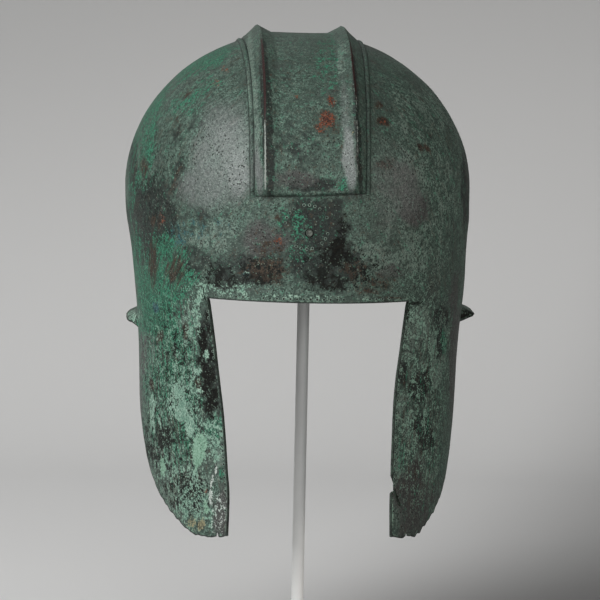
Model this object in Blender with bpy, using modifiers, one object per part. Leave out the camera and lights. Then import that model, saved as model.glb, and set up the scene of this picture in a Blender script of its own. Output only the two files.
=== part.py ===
"""A bronze helmet of Illyrian type, held up by a plain display stand.

The helmet is one sheet of bronze, as the real one is. It is built as an open surface of
quads, laid out along the crest ridges and the rims, and then thickened inwards. The stand
is a steel plate, an upright rod and a small rest under the crown.
"""

import math
from collections import namedtuple

import bmesh
import bpy
import numpy as np
from mathutils import Matrix, Vector

MM = 0.001

# The bowl, outside. Its axis is the upright line through its widest place, and heights in
# the helmet are measured from the brow rim.
BOWL_HALF_WIDTH = 100.0 * MM
BOWL_FRONT = 130.0 * MM
BOWL_BACK = 106.0 * MM
WIDEST_HEIGHT = 58.0 * MM
CROWN_HEIGHT = 147.5 * MM
DOME_FULLNESS = 0.2
BACK_FULLNESS = 0.3
LEAN = 2.2 * MM
WALL = 1.5 * MM

# The face opening, the cheekpieces and the neck guard.
OPENING_HALF_WIDTH = 55.0 * MM
CHEEK_LENGTH = 135.0 * MM
NECK_DROP = 21.3 * MM
NECK_ARCH = 7.0 * MM
NECK_SLANT = 3.6 * MM
FLARE_SLANT = 3.2 * MM
SLANT_FULL_REACH = 10.0 * MM
FLARE_HEIGHT = 12.0 * MM
FLARE_CURL = 1.7
ARCH_STARTS = math.radians(100.0)
ARCH_FULL = math.radians(145.0)

# The crest holder: a channel between two ridges, with a bead along each ridge's foot.
CREST_ASIDE = -2.7 * MM
CREST_SKEW = math.radians(1.0)
CHANNEL_HALF_WIDTH = 16.3 * MM
RIDGE_INNER_FACE = 6.8 * MM
RIDGE_OUTER_FACE = 5.6 * MM
BEAD_WIDTH = 3.2 * MM
BEAD_SLOPE = 1.8 * MM
RIDGE_HEIGHT = 6.1 * MM
BEAD_HEIGHT = 1.7 * MM
CHANNEL_LIFT_END = 1.1 * MM
CHANNEL_SINK_CROWN = 0.7 * MM
CREST_FRONT_END = math.radians(27.0)
CREST_BACK_END = math.radians(160.0)
CREST_END_LENGTH = 2.2 * MM

# The plugged crest hole in the forehead.
RIVET_ASIDE = -1.0 * MM
RIVET_HEIGHT = 39.0 * MM
RIVET_RADIUS = 2.2 * MM
RIVET_STANDS_OUT = 0.4 * MM
RIVET_DOME = 0.3 * MM
RIVET_HEAD_RADIUS = 3.6 * MM
RIVET_HEAD_HEIGHT = 1.2 * MM
RIVET_CHAMFER = 0.3 * MM
CREST_HOLE_REACH = 18.0 * MM

# The stand.
BASE_SIDE = 160.0 * MM
BASE_THICKNESS = 10.0 * MM
BASE_CHAMFER = 1.5 * MM
POST_RADIUS = 3.5 * MM
POST_SEAT_DEPTH = 7.0 * MM
REST_RADIUS = 12.0 * MM
REST_CURVE = 45.0 * MM
REST_THICKNESS = 8.0 * MM
REST_ROUNDING = 1.5 * MM
REST_SEAT_DEPTH = 4.0 * MM
TIPS_ABOVE_BASE = 66.0 * MM
GAP = 0.3 * MM

# Where the helmet's axis stands from the post, so that it hangs in balance.
HELMET_ASIDE = -2.2 * MM
HELMET_BACK = 13.0 * MM
BROW_LEVEL = BASE_THICKNESS + TIPS_ABOVE_BASE + CHEEK_LENGTH

# How finely the sheet is divided.
BROW_ROWS = 5
CREST_ROWS = 20
NAPE_ROWS = 3
LOBE_COLUMNS = 8
SKIRT_ROWS = 11
HALVINGS = 40
ROUND_SIDES = 32

# Level sections of the helmet below its widest place. drop is a share of the way from there
# to the cheek tips, and the others are shares of the bowl's half width, front and back.
Section = namedtuple("Section", "drop width front back")
SECTIONS = (
    Section(0.00, 1.000, 1.000, 1.000),
    Section(0.08, 0.997, 0.999, 0.990),
    Section(0.15, 0.981, 0.996, 0.970),
    Section(0.22, 0.968, 0.992, 0.940),
    Section(0.30, 0.955, 0.987, 0.910),
    Section(0.37, 0.942, 0.983, 0.895),
    Section(0.50, 0.925, 0.977, 0.885),
    Section(0.65, 0.915, 0.971, 0.885),
    Section(0.80, 0.895, 0.965, 0.885),
    Section(1.00, 0.860, 0.958, 0.885),
)

# The front edges of the two cheekpieces. drop is a share of the cheek length, and left and
# right are shares of the opening's half width at the brow.
Edge = namedtuple("Edge", "drop left right")
FRONT_EDGES = (
    Edge(0.00, 1.010, 1.020),
    Edge(0.17, 0.945, 0.975),
    Edge(0.34, 0.888, 0.925),
    Edge(0.50, 0.837, 0.905),
    Edge(0.67, 0.800, 0.905),
    Edge(0.84, 0.770, 0.900),
    Edge(1.00, 0.775, 0.912),
)

# The lower edge of a cheekpiece. angle is in degrees round the axis from the front, and
# reach is the share of the way from the neck guard's edge down to the cheek tip.
Hem = namedtuple("Hem", "angle reach")
HEM = (
    Hem(0.0, 0.975),
    Hem(30.0, 0.978),
    Hem(46.0, 1.000),
    Hem(51.0, 0.992),
    Hem(55.0, 0.968),
    Hem(60.0, 0.930),
    Hem(65.0, 0.890),
    Hem(70.0, 0.843),
    Hem(75.0, 0.780),
    Hem(80.0, 0.695),
    Hem(85.0, 0.585),
    Hem(89.0, 0.465),
    Hem(93.0, 0.320),
    Hem(97.0, 0.165),
    Hem(100.0, 0.065),
    Hem(103.0, 0.012),
    Hem(107.0, 0.000),
    Hem(180.0, 0.000),
)

# How far the neck guard flares out, in mm, at each angle in degrees round the axis from the
# front.
Flare = namedtuple("Flare", "angle reach")
FLARES = (
    Flare(0.0, 0.0),
    Flare(98.5, 0.0),
    Flare(101.0, 7.5),
    Flare(104.0, 12.0),
    Flare(108.0, 14.3),
    Flare(112.0, 16.6),
    Flare(116.0, 19.2),
    Flare(121.0, 20.8),
    Flare(127.0, 20.8),
    Flare(140.0, 19.3),
    Flare(180.0, 18.5),
)


def through_rows(rows, across, along, at):
    """One column of a table read at any place, on a curve through the rows that never overshoots."""
    x = np.array([getattr(row, across) for row in rows], float)
    y = np.array([getattr(row, along) for row in rows], float)
    rise = np.diff(y) / np.diff(x)
    slope = np.zeros(len(x))
    same_way = rise[:-1] * rise[1:] > 0
    total = np.where(same_way, rise[:-1] + rise[1:], 1.0)
    slope[1:-1] = np.where(same_way, 2 * rise[:-1] * rise[1:] / total, 0.0)
    slope[0], slope[-1] = rise[0], rise[-1]
    at = np.clip(np.asarray(at, float), x[0], x[-1])
    k = np.clip(np.searchsorted(x, at, side="right") - 1, 0, len(x) - 2)
    width = x[k + 1] - x[k]
    t = (at - x[k]) / width
    start = y[k] * (1 + 2 * t) * (1 - t) ** 2 + y[k + 1] * t * t * (3 - 2 * t)
    return start + width * t * (1 - t) * (slope[k] * (1 - t) - slope[k + 1] * t)


def ease(share):
    """0 to 1 with level ends."""
    share = np.clip(share, 0.0, 1.0)
    return share * share * (3 - 2 * share)


def section_sizes(height):
    """Half width, front and back of the level section at each height."""
    drop = (WIDEST_HEIGHT - height) / (WIDEST_HEIGHT + CHEEK_LENGTH)
    return (
        BOWL_HALF_WIDTH * through_rows(SECTIONS, "drop", "width", drop),
        BOWL_FRONT * through_rows(SECTIONS, "drop", "front", drop),
        BOWL_BACK * through_rows(SECTIONS, "drop", "back", drop),
    )


def is_outside(points):
    """True for each point outside the bowl, which is a rounded dome on the level sections."""
    x, y, z = points.T
    x = x + LEAN * ease(z / WIDEST_HEIGHT)
    half_width, front, back = section_sizes(z)
    up = np.clip((z - WIDEST_HEIGHT) / (CROWN_HEIGHT - WIDEST_HEIGHT), 0.0, None)
    side = np.abs(x) / half_width
    depth = np.abs(y) / np.where(y < 0, front, back)
    plan_power = 2 + np.where(y < 0, 0.0, BACK_FULLNESS)
    plan = (side**plan_power + depth**plan_power) ** (1 / plan_power)
    lengthwise = depth**2 / np.maximum(side**2 + depth**2, 1e-12)
    dome_power = 2 + DOME_FULLNESS * lengthwise
    return plan**dome_power + up**dome_power > 1


def reach_surface(starts, directions):
    """The place where each ray from inside the bowl meets its outer face."""
    near = np.zeros(len(starts))
    far = np.full(len(starts), 2 * (BOWL_FRONT + CROWN_HEIGHT))
    for _ in range(HALVINGS):
        middle = (near + far) / 2
        out = is_outside(starts + directions * middle[:, None])
        far = np.where(out, middle, far)
        near = np.where(out, near, middle)
    return starts + directions * near[:, None]


def round_the_axis(angle, height):
    """The place on a level section at an angle from the front, positive to the right."""
    half_width, front, back = section_sizes(height)
    turn = np.abs(angle)
    behind = turn > math.pi / 2
    power = 2 / (2 + np.where(behind, BACK_FULLNESS, 0.0))
    depth = np.abs(np.cos(turn)) ** power * np.where(behind, back, -front)
    side = np.abs(np.sin(turn)) ** power * half_width
    return np.sign(angle) * side, depth


def opening_angle(height, side):
    """The angle of a cheekpiece's front edge at each height, for the left (-1) or right (1)."""
    column = "right" if side > 0 else "left"
    half = OPENING_HALF_WIDTH * through_rows(FRONT_EDGES, "drop", column, -height / CHEEK_LENGTH)
    return np.arcsin(half / section_sizes(height)[0])


def crest_relief(aside, turn):
    """How far the crest holder stands out of the bowl, at a distance aside of its middle line."""
    steps = np.cumsum(
        [0.0, CHANNEL_HALF_WIDTH, RIDGE_INNER_FACE, RIDGE_OUTER_FACE, BEAD_WIDTH, BEAD_SLOPE]
    )
    from_crown = np.abs(turn - math.pi / 2) / (math.pi / 2 - CREST_FRONT_END)
    floor = -CHANNEL_SINK_CROWN + (CHANNEL_LIFT_END + CHANNEL_SINK_CROWN) * ease(from_crown)
    flat = CHANNEL_HALF_WIDTH**2 / (2 * BOWL_HALF_WIDTH)
    aside = np.abs(aside)
    channel = floor + aside**2 / (2 * BOWL_HALF_WIDTH)
    outer = np.interp(aside, steps[2:], [RIDGE_HEIGHT, BEAD_HEIGHT, BEAD_HEIGHT, 0.0])
    rise = (aside - steps[1]) / RIDGE_INNER_FACE
    inner = (floor + flat) * (1 - rise) + RIDGE_HEIGHT * rise
    relief = np.where(aside < steps[1], channel, np.where(aside < steps[2], inner, outer))
    inside = (turn >= CREST_FRONT_END - 1e-9) & (turn <= CREST_BACK_END + 1e-9)
    return np.where(inside, relief, 0.0)


def band_columns():
    """Distances aside of the middle line of the columns that carry the crest holder."""
    feet = np.cumsum(
        [CHANNEL_HALF_WIDTH, RIDGE_INNER_FACE, RIDGE_OUTER_FACE, BEAD_WIDTH, BEAD_SLOPE]
    )
    middles = [CHANNEL_HALF_WIDTH / 2, feet[0] + RIDGE_INNER_FACE / 2, feet[1] + RIDGE_OUTER_FACE / 2]
    right = np.sort(np.concatenate([feet, middles]))
    return np.concatenate([-right[::-1], [0.0], right])


def row_turns():
    """Angles of the rows, from the brow rim over the crown to the nape."""
    step = CREST_END_LENGTH / BOWL_FRONT
    return np.concatenate([
        np.linspace(0.0, CREST_FRONT_END - step, BROW_ROWS),
        np.linspace(CREST_FRONT_END, CREST_BACK_END, CREST_ROWS),
        np.linspace(CREST_BACK_END + step, math.pi, NAPE_ROWS),
    ])


def bowl_row(turn):
    """One row of places over the bowl, from the left cheek line to the right one."""
    columns = band_columns()
    starts = np.zeros((len(columns), 3))
    starts[:, 0] = columns + CREST_ASIDE + BOWL_FRONT * math.tan(CREST_SKEW) * math.cos(turn)
    directions = np.tile([0.0, -math.cos(turn), math.sin(turn)], (len(columns), 1))
    band = reach_surface(starts, directions)
    lobes = {}
    for side, rim_end in ((-1, band[0]), (1, band[-1])):
        corner = opening_angle(np.zeros(1), side)[0]
        angle = side * (corner + (math.pi - 2 * corner) * turn / math.pi)
        x, y = round_the_axis(np.array([angle]), np.zeros(1))
        low = np.array([x[0], y[0], 0.0])
        share = np.linspace(0.0, 1.0, LOBE_COLUMNS + 1)[1:, None]
        fan = rim_end * (1 - share) + low * share
        fan /= np.linalg.norm(fan, axis=1)[:, None]
        lobes[side] = reach_surface(np.zeros_like(fan), fan)
    return np.concatenate([lobes[-1][::-1], band, lobes[1]]), columns


def outward(points):
    """Unit normals of the smooth bowl at places on it, from how it falls away on each axis."""
    small = 0.5 * MM
    normals = np.zeros_like(points)
    for axis in range(3):
        shift = np.zeros(3)
        shift[axis] = small
        ahead = swell(points + shift)
        behind = swell(points - shift)
        normals[:, axis] = ahead - behind
    return normals / np.linalg.norm(normals, axis=1)[:, None]


def swell(points):
    """How far out a place is, as a share of the way from the axis to the bowl's face."""
    distance = np.linalg.norm(points, axis=1)
    rim = reach_surface(np.zeros_like(points), points / distance[:, None])
    return distance / np.linalg.norm(rim, axis=1)


def bowl_rows():
    """The grid of places above the brow rim, with the crest holder raised on it."""
    grid = []
    for turn in row_turns():
        row, columns = bowl_row(turn)
        band = slice(LOBE_COLUMNS, LOBE_COLUMNS + len(columns))
        row[band] += outward(row[band]) * crest_relief(columns, turn)[:, None]
        grid.append(row)
    return np.array(grid)


def neck_edge(angle, aside):
    """Height of the neck guard's lower edge, which rises a little to the nape and to the right."""
    arch = NECK_ARCH * ease((np.abs(angle) - ARCH_STARTS) / (ARCH_FULL - ARCH_STARTS))
    return -(NECK_DROP - arch - NECK_SLANT * aside / BOWL_HALF_WIDTH)


def skirt_column(top, rows):
    """Places straight down from one place on the brow's level to the hem."""
    half_width, front, back = section_sizes(np.zeros(1))
    side = 1.0 if top[0] >= 0 else -1.0
    power = (2 + (BACK_FULLNESS if top[1] > 0 else 0.0)) / 2
    depth = top[1] / (front[0] if top[1] < 0 else back[0])
    angle = math.atan2(abs(top[0] / half_width[0]) ** power, -math.copysign(abs(depth) ** power, depth))
    edge = neck_edge(np.array([angle]), np.array([top[0]]))[0]
    reach = through_rows(HEM, "angle", "reach", [math.degrees(angle)])[0]
    hem = edge - (CHEEK_LENGTH + edge) * reach
    heights = hem * np.linspace(0.0, 1.0, rows + 1)[1:]
    corner = opening_angle(np.zeros(1), side)[0]
    corners = opening_angle(heights, side)
    angles = corners + (angle - corner) * (math.pi - corners) / (math.pi - corner)
    x, y = round_the_axis(side * angles, heights)
    points = np.column_stack([x, y, heights])
    curl = np.clip((edge + FLARE_HEIGHT - heights) / FLARE_HEIGHT, 0.0, 1.0) ** FLARE_CURL
    reach = through_rows(FLARES, "angle", "reach", np.degrees(angles)) * MM
    slant = FLARE_SLANT * top[0] / BOWL_HALF_WIDTH
    flare = (reach + slant * ease(reach / SLANT_FULL_REACH)) * curl
    level = np.column_stack([x / half_width**2, y / back**2, np.zeros(rows)])
    level /= np.linalg.norm(level, axis=1)[:, None]
    return points + level * flare[:, None]


def sheet_mesh():
    """The whole sheet as one open surface, its faces pointing outwards."""
    grid = bowl_rows()
    rows, columns = grid.shape[:2]
    points = [tuple(p) for p in grid.reshape(-1, 3)]
    faces = []
    for j in range(rows - 1):
        for c in range(columns - 1):
            a = j * columns + c
            faces.append((a, a + 1, a + columns + 1, a + columns))
    right = [j * columns + columns - 1 for j in range(rows)]
    nape = [(rows - 1) * columns + c for c in range(columns - 2, 0, -1)]
    left = [j * columns for j in range(rows - 1, -1, -1)]
    top_line = right + nape + left
    strips = [top_line]
    first = len(points)
    skirt = np.array([skirt_column(np.array(points[i]), SKIRT_ROWS) for i in top_line])
    for k in range(SKIRT_ROWS):
        strips.append([first + k * len(top_line) + i for i in range(len(top_line))])
        points.extend(tuple(p) for p in skirt[:, k])
    for upper, lower in zip(strips, strips[1:]):
        for i in range(len(top_line) - 1):
            faces.append((upper[i], lower[i], lower[i + 1], upper[i + 1]))
    mesh = bpy.data.meshes.new("helmet_sheet")
    mesh.from_pydata(points, [], faces)
    mesh.update()
    return mesh


def material(name, color, roughness, metallic):
    made = bpy.data.materials.new(name)
    made.use_nodes = True
    shader = made.node_tree.nodes["Principled BSDF"]
    shader.inputs["Base Color"].default_value = (*color, 1.0)
    shader.inputs["Roughness"].default_value = roughness
    shader.inputs["Metallic"].default_value = metallic
    return made


def collection(name):
    made = bpy.data.collections.new(name)
    bpy.context.scene.collection.children.link(made)
    return made


def add_object(name, mesh, group, finish=None):
    obj = bpy.data.objects.new(name, mesh)
    group.objects.link(obj)
    if finish:
        mesh.materials.append(finish)
    return obj


def turned(name, profile, group, finish=None):
    """A solid of revolution about Z. The profile runs down its outer side, from axis to axis."""
    mesh = bpy.data.meshes.new(name)
    points = [(radius, 0.0, height) for radius, height in profile]
    mesh.from_pydata(points, [(i, i + 1) for i in range(len(points) - 1)], [])
    obj = add_object(name, mesh, group, finish)
    screw = obj.modifiers.new("turn", "SCREW")
    screw.axis = "Z"
    screw.steps = ROUND_SIDES
    screw.render_steps = ROUND_SIDES
    screw.use_merge_vertices = True
    screw.merge_threshold = 0.01 * MM
    screw.use_smooth_shade = False
    return obj


def cylinder(name, radius, length, group, finish=None):
    """A rod along Z, centred on its origin."""
    mesh = bpy.data.meshes.new(name)
    rod = bmesh.new()
    bmesh.ops.create_cone(
        rod, cap_ends=True, segments=ROUND_SIDES, radius1=radius, radius2=radius, depth=length
    )
    rod.to_mesh(mesh)
    rod.free()
    return add_object(name, mesh, group, finish)


def cutting_rod(name, radius, length, group):
    """A rod that only cuts."""
    rod = cylinder(name, radius, length, group)
    rod.hide_render = True
    rod.display_type = "WIRE"
    return rod


def cut(obj, cutter):
    boolean = obj.modifiers.new("cut_" + cutter.name, "BOOLEAN")
    boolean.operation = "DIFFERENCE"
    boolean.solver = "EXACT"
    boolean.object = cutter


def helmet_place():
    return Vector((HELMET_ASIDE, HELMET_BACK, BROW_LEVEL))


def forehead_place():
    """Where the rivet's axis leaves the forehead, in the helmet's own frame."""
    aim = np.array([[0.0, -1.0, 0.0]])
    start = np.array([[RIVET_ASIDE, 0.0, RIVET_HEIGHT]])
    return Vector(reach_surface(start, aim)[0])


def forehead_bow(aside):
    """How far the forehead curves back at a distance aside of its middle."""
    return aside**2 * BOWL_FRONT / (2 * BOWL_HALF_WIDTH**2)


def facing_forward():
    """Turns a solid's +Z to point out of the forehead."""
    return Matrix.Rotation(math.pi / 2, 4, "X")


def build_helmet(group, cutters, bronze):
    helmet = add_object("helmet_shell", sheet_mesh(), group, bronze)
    helmet.location = helmet_place()
    wall = helmet.modifiers.new("wall", "SOLIDIFY")
    wall.thickness = WALL
    wall.offset = -1.0
    wall.use_even_offset = True
    wall.use_quality_normals = True
    hole = cutting_rod("crest_hole", RIVET_RADIUS + GAP, CREST_HOLE_REACH, cutters)
    hole.matrix_world = Matrix.Translation(helmet_place() + forehead_place()) @ facing_forward()
    cut(helmet, hole)
    helmet.data.shade_smooth()
    helmet.data.set_sharp_from_angle(angle=math.radians(35))
    return helmet


def build_rivet(group, bronze):
    """A peened plug: flush outside, with a head inside the wall."""
    inside = -(WALL + GAP + forehead_bow(RIVET_HEAD_RADIUS + abs(RIVET_ASIDE)))
    head = inside - RIVET_HEAD_HEIGHT
    profile = [
        (0, RIVET_STANDS_OUT + RIVET_DOME),
        (RIVET_RADIUS / 2, RIVET_STANDS_OUT + 0.8 * RIVET_DOME),
        (RIVET_RADIUS - RIVET_CHAMFER, RIVET_STANDS_OUT),
        (RIVET_RADIUS, RIVET_STANDS_OUT - RIVET_CHAMFER),
        (RIVET_RADIUS, inside),
        (RIVET_HEAD_RADIUS, inside),
        (RIVET_HEAD_RADIUS, head + RIVET_CHAMFER),
        (RIVET_HEAD_RADIUS - RIVET_CHAMFER, head),
        (0, head),
    ]
    rivet = turned("crest_rivet", profile, group, bronze)
    rivet.matrix_world = Matrix.Translation(helmet_place() + forehead_place()) @ facing_forward()
    return rivet


def rest_top():
    """Height of the rest's domed top, the highest that keeps the gap to the crown above it."""
    turns = np.linspace(0.0, 2 * math.pi, ROUND_SIDES)
    heights = []
    for radius in np.linspace(0.0, REST_RADIUS, 5):
        starts = np.column_stack([
            radius * np.sin(turns) - HELMET_ASIDE,
            radius * np.cos(turns) - HELMET_BACK,
            np.zeros(ROUND_SIDES),
        ])
        roof = reach_surface(starts, np.tile([0.0, 0.0, 1.0], (ROUND_SIDES, 1)))[:, 2]
        heights.append(roof.min() + radius**2 / (2 * REST_CURVE))
    return BROW_LEVEL + min(heights) - CHANNEL_SINK_CROWN - WALL - GAP


def build_stand(group, cutters, steel, felt):
    mesh = bpy.data.meshes.new("stand_base")
    block = bmesh.new()
    bmesh.ops.create_cube(block, size=1.0)
    bmesh.ops.scale(block, vec=(BASE_SIDE, BASE_SIDE, BASE_THICKNESS), verts=block.verts)
    block.to_mesh(mesh)
    block.free()
    base = add_object("stand_base", mesh, group, steel)
    base.location = (0.0, 0.0, BASE_THICKNESS / 2)
    edges = base.modifiers.new("chamfer", "BEVEL")
    edges.width = BASE_CHAMFER
    edges.segments = 2
    seat = cutting_rod("post_seat", POST_RADIUS + GAP, 2 * POST_SEAT_DEPTH, cutters)
    seat.location = (0.0, 0.0, BASE_THICKNESS)
    cut(base, seat)

    foot = BASE_THICKNESS - POST_SEAT_DEPTH + GAP
    top = rest_top()
    under = top - REST_THICKNESS
    tip = under + REST_SEAT_DEPTH - GAP
    post = cylinder("stand_post", POST_RADIUS, tip - foot, group, steel)
    post.location = (0.0, 0.0, (tip + foot) / 2)
    bore = POST_RADIUS + GAP
    slope = REST_RADIUS**2 / (2 * REST_CURVE)
    rest = turned(
        "stand_rest",
        [
            (0, top),
            (REST_RADIUS / 2, top - slope / 4),
            (REST_RADIUS - REST_ROUNDING, top - slope),
            (REST_RADIUS, top - slope - REST_ROUNDING),
            (REST_RADIUS, under + REST_ROUNDING / 2),
            (REST_RADIUS - REST_ROUNDING / 2, under),
            (bore, under),
            (bore, under + REST_SEAT_DEPTH),
            (0, under + REST_SEAT_DEPTH),
        ],
        group,
        felt,
    )
    return base, post, rest


def main():
    for obj in list(bpy.data.objects):
        bpy.data.objects.remove(obj)
    parts = collection("illyrian_helmet")
    cutters = collection("cutters")
    bronze = material("patinated_bronze", (0.045, 0.095, 0.070), 0.55, 0.25)
    plug = material("bronze_plug", (0.110, 0.105, 0.095), 0.45, 0.50)
    steel = material("satin_steel", (0.48, 0.48, 0.47), 0.35, 1.0)
    felt = material("grey_felt", (0.12, 0.12, 0.12), 0.95, 0.0)
    build_helmet(parts, cutters, bronze)
    build_rivet(parts, plug)
    build_stand(parts, cutters, steel, felt)


main()
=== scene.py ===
"""An Illyrian helmet of old green bronze on a plain steel stand, dressed over the solids.

The sheet is laid out again much more finely from the same sizes as the solid, with rounded ridges, fine
mouldings, worn rims, a tear and punched circlets. Its patina is procedural, and a short chart says where
the main stains sit, and where highlights and shade are painted into it.
"""

import math
from collections import namedtuple

import bmesh
import bpy
import numpy as np
from mathutils import Matrix, Vector, noise
from mathutils.bvhtree import BVHTree
from mathutils.kdtree import KDTree


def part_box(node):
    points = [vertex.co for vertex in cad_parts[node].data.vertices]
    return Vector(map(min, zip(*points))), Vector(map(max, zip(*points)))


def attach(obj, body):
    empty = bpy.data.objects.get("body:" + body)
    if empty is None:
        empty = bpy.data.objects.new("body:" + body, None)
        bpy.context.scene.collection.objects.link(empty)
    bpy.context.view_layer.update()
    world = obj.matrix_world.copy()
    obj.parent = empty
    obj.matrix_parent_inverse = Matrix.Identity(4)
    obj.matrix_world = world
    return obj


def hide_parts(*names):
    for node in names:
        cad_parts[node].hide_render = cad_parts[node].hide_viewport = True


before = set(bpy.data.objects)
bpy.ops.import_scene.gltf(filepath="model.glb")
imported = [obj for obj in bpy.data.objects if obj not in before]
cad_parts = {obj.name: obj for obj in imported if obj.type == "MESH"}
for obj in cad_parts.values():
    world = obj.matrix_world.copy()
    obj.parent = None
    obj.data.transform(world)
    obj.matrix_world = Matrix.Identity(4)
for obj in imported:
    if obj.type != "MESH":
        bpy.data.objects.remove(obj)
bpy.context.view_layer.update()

MM = 0.001

# The bowl, as in the solid.
BOWL_HALF_WIDTH = 100.0 * MM
BOWL_FRONT = 130.0 * MM
BOWL_BACK = 106.0 * MM
WIDEST_HEIGHT = 58.0 * MM
CROWN_HEIGHT = 147.5 * MM
DOME_FULLNESS = 0.2
BACK_FULLNESS = 0.3
LEAN = 2.2 * MM
WALL = 1.5 * MM
OPENING_HALF_WIDTH = 55.0 * MM
CHEEK_LENGTH = 135.0 * MM
NECK_DROP = 21.3 * MM
NECK_ARCH = 7.0 * MM
NECK_SLANT = 3.6 * MM
FLARE_SLANT = 3.2 * MM
SLANT_FULL_REACH = 10.0 * MM
FLARE_HEIGHT = 12.0 * MM
FLARE_CURL = 1.7
ARCH_STARTS = math.radians(100.0)
ARCH_FULL = math.radians(145.0)
HALVINGS = 34

# The crest holder.
CREST_ASIDE = -2.7 * MM
CREST_SKEW = math.radians(1.0)
CHANNEL_HALF_WIDTH = 16.3 * MM
RIDGE_INNER_FACE = 6.8 * MM
RIDGE_TOP_HALF = 0.3 * MM
RIDGE_HEIGHT = 6.1 * MM
BEADS_SPREAD = 1.3
CHANNEL_LIFT_END = 1.1 * MM
CHANNEL_SINK_CROWN = 0.7 * MM
CREST_FRONT_END = math.radians(25.0)
CREST_BACK_END = math.radians(160.0)
RIDGE_END_ROUNDING = 5.0 * MM
CHANNEL_END_STEP = 1.0 * MM
END_REACH = 35.0 * MM
END_DIP = -1.0 * MM
END_SLANT = 1.4 * MM
END_RISE = 3.5 * MM

# The plugged crest hole.
RIVET_ASIDE = -1.0 * MM
RIVET_HEIGHT = 39.0 * MM
RIVET_RADIUS = 2.2 * MM
RIVET_STANDS_OUT = 0.4 * MM
GAP = 0.3 * MM
RIVET_HEAD_RADIUS = 3.6 * MM
RIVET_HEAD_HEIGHT = 1.2 * MM

# Where the helmet stands in the world.
BROW_LEVEL = 211.0 * MM
HELMET_PLACE = Vector((-2.2 * MM, 13.0 * MM, BROW_LEVEL))

# The brow band and the worn surface.
BAND_WIDTH = 6.3 * MM
BAND_HEIGHT = 0.35 * MM
SWELL_SIZE = 26.0 * MM
SWELL_HEIGHT = 0.35 * MM
HAMMER_SIZE = 8.0 * MM
HAMMER_HEIGHT = 0.10 * MM
RAGGED_SIZE = 5.0 * MM
RAGGED_DEPTH = 1.2 * MM

# The camera, fitted to the photograph, and where the helmet's axis meets the brow in it.
CAMERA_TURN = math.radians(-2.7)
CAMERA_RISE = math.radians(4.5)
CAMERA_ROLL = math.radians(1.2)
CAMERA_DISTANCE = 2.4
FOCAL_PIXELS = 4117.0
IMAGE_SIDE = 600.0
AIM_PIXEL = (299.0, 285.0)
SENSOR = 36.0

# How finely the sheet is divided.
LOBE_COLUMNS = 46
SKIRT_STEP = 2.3 * MM

Section = namedtuple("Section", "drop width front back")
SECTIONS = (
    Section(0.00, 1.000, 1.000, 1.000),
    Section(0.08, 0.997, 0.999, 0.990),
    Section(0.15, 0.981, 0.996, 0.970),
    Section(0.22, 0.968, 0.992, 0.940),
    Section(0.30, 0.955, 0.987, 0.910),
    Section(0.37, 0.942, 0.983, 0.895),
    Section(0.50, 0.925, 0.977, 0.885),
    Section(0.65, 0.915, 0.971, 0.885),
    Section(0.80, 0.895, 0.965, 0.885),
    Section(1.00, 0.860, 0.958, 0.885),
)

Edge = namedtuple("Edge", "drop left right")
FRONT_EDGES = (
    Edge(0.00, 1.010, 1.020),
    Edge(0.17, 0.945, 0.975),
    Edge(0.34, 0.888, 0.925),
    Edge(0.50, 0.837, 0.905),
    Edge(0.67, 0.800, 0.905),
    Edge(0.84, 0.770, 0.900),
    Edge(1.00, 0.775, 0.912),
)

Hem = namedtuple("Hem", "angle reach")
HEM = (
    Hem(0.0, 0.975),
    Hem(30.0, 0.978),
    Hem(46.0, 1.000),
    Hem(51.0, 0.992),
    Hem(55.0, 0.968),
    Hem(60.0, 0.930),
    Hem(65.0, 0.890),
    Hem(70.0, 0.843),
    Hem(75.0, 0.780),
    Hem(80.0, 0.695),
    Hem(85.0, 0.585),
    Hem(89.0, 0.465),
    Hem(93.0, 0.320),
    Hem(97.0, 0.150),
    Hem(100.0, 0.035),
    Hem(103.0, 0.004),
    Hem(107.0, 0.000),
    Hem(180.0, 0.000),
)

# How far the neck guard flares out, in mm, at each angle round the axis from the front.
Flare = namedtuple("Flare", "angle reach")
FLARES = (
    Flare(0.0, 0.0),
    Flare(98.5, 0.0),
    Flare(101.0, 7.5),
    Flare(104.0, 12.0),
    Flare(108.0, 14.3),
    Flare(112.0, 16.6),
    Flare(116.0, 19.2),
    Flare(121.0, 20.8),
    Flare(127.0, 20.8),
    Flare(140.0, 19.3),
    Flare(180.0, 18.5),
)

# A cut across a ridge's outer side, in mm: the rounded top, the broad outer face, a groove, a
# fine bead and a groove.
Moulding = namedtuple("Moulding", "aside height")
MOULDINGS = (
    Moulding(23.1, 6.10),
    Moulding(23.7, 5.90),
    Moulding(24.6, 5.10),
    Moulding(26.0, 3.85),
    Moulding(27.5, 2.75),
    Moulding(28.9, 1.85),
    Moulding(29.8, 1.30),
    Moulding(30.3, 0.90),
    Moulding(30.8, 0.35),
    Moulding(31.4, 1.00),
    Moulding(31.9, 1.25),
    Moulding(32.5, 1.00),
    Moulding(33.1, 0.30),
    Moulding(33.6, 0.00),
    Moulding(35.6, 0.00),
)

# Where the grooves between those lie, in mm aside of the crest's middle.
GROOVE_ASIDES = (30.8, 33.1)
FOOT_HALF_WIDTH = 30.0 * MM

# Distances aside of the crest's middle, in mm, where the sheet has columns.
BAND_ASIDES = (
    2.1, 4.2, 6.3, 8.4, 10.4, 12.3, 14.0, 15.3, 16.3, 17.3, 18.5, 19.7, 20.8, 21.7, 22.5, 23.1,
    23.7, 24.5, 25.4, 26.5, 27.6, 28.4, 28.9, 29.3, 29.8, 30.3, 30.8, 31.4, 31.9, 32.5, 33.1,
    33.6, 35.0,
)


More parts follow.
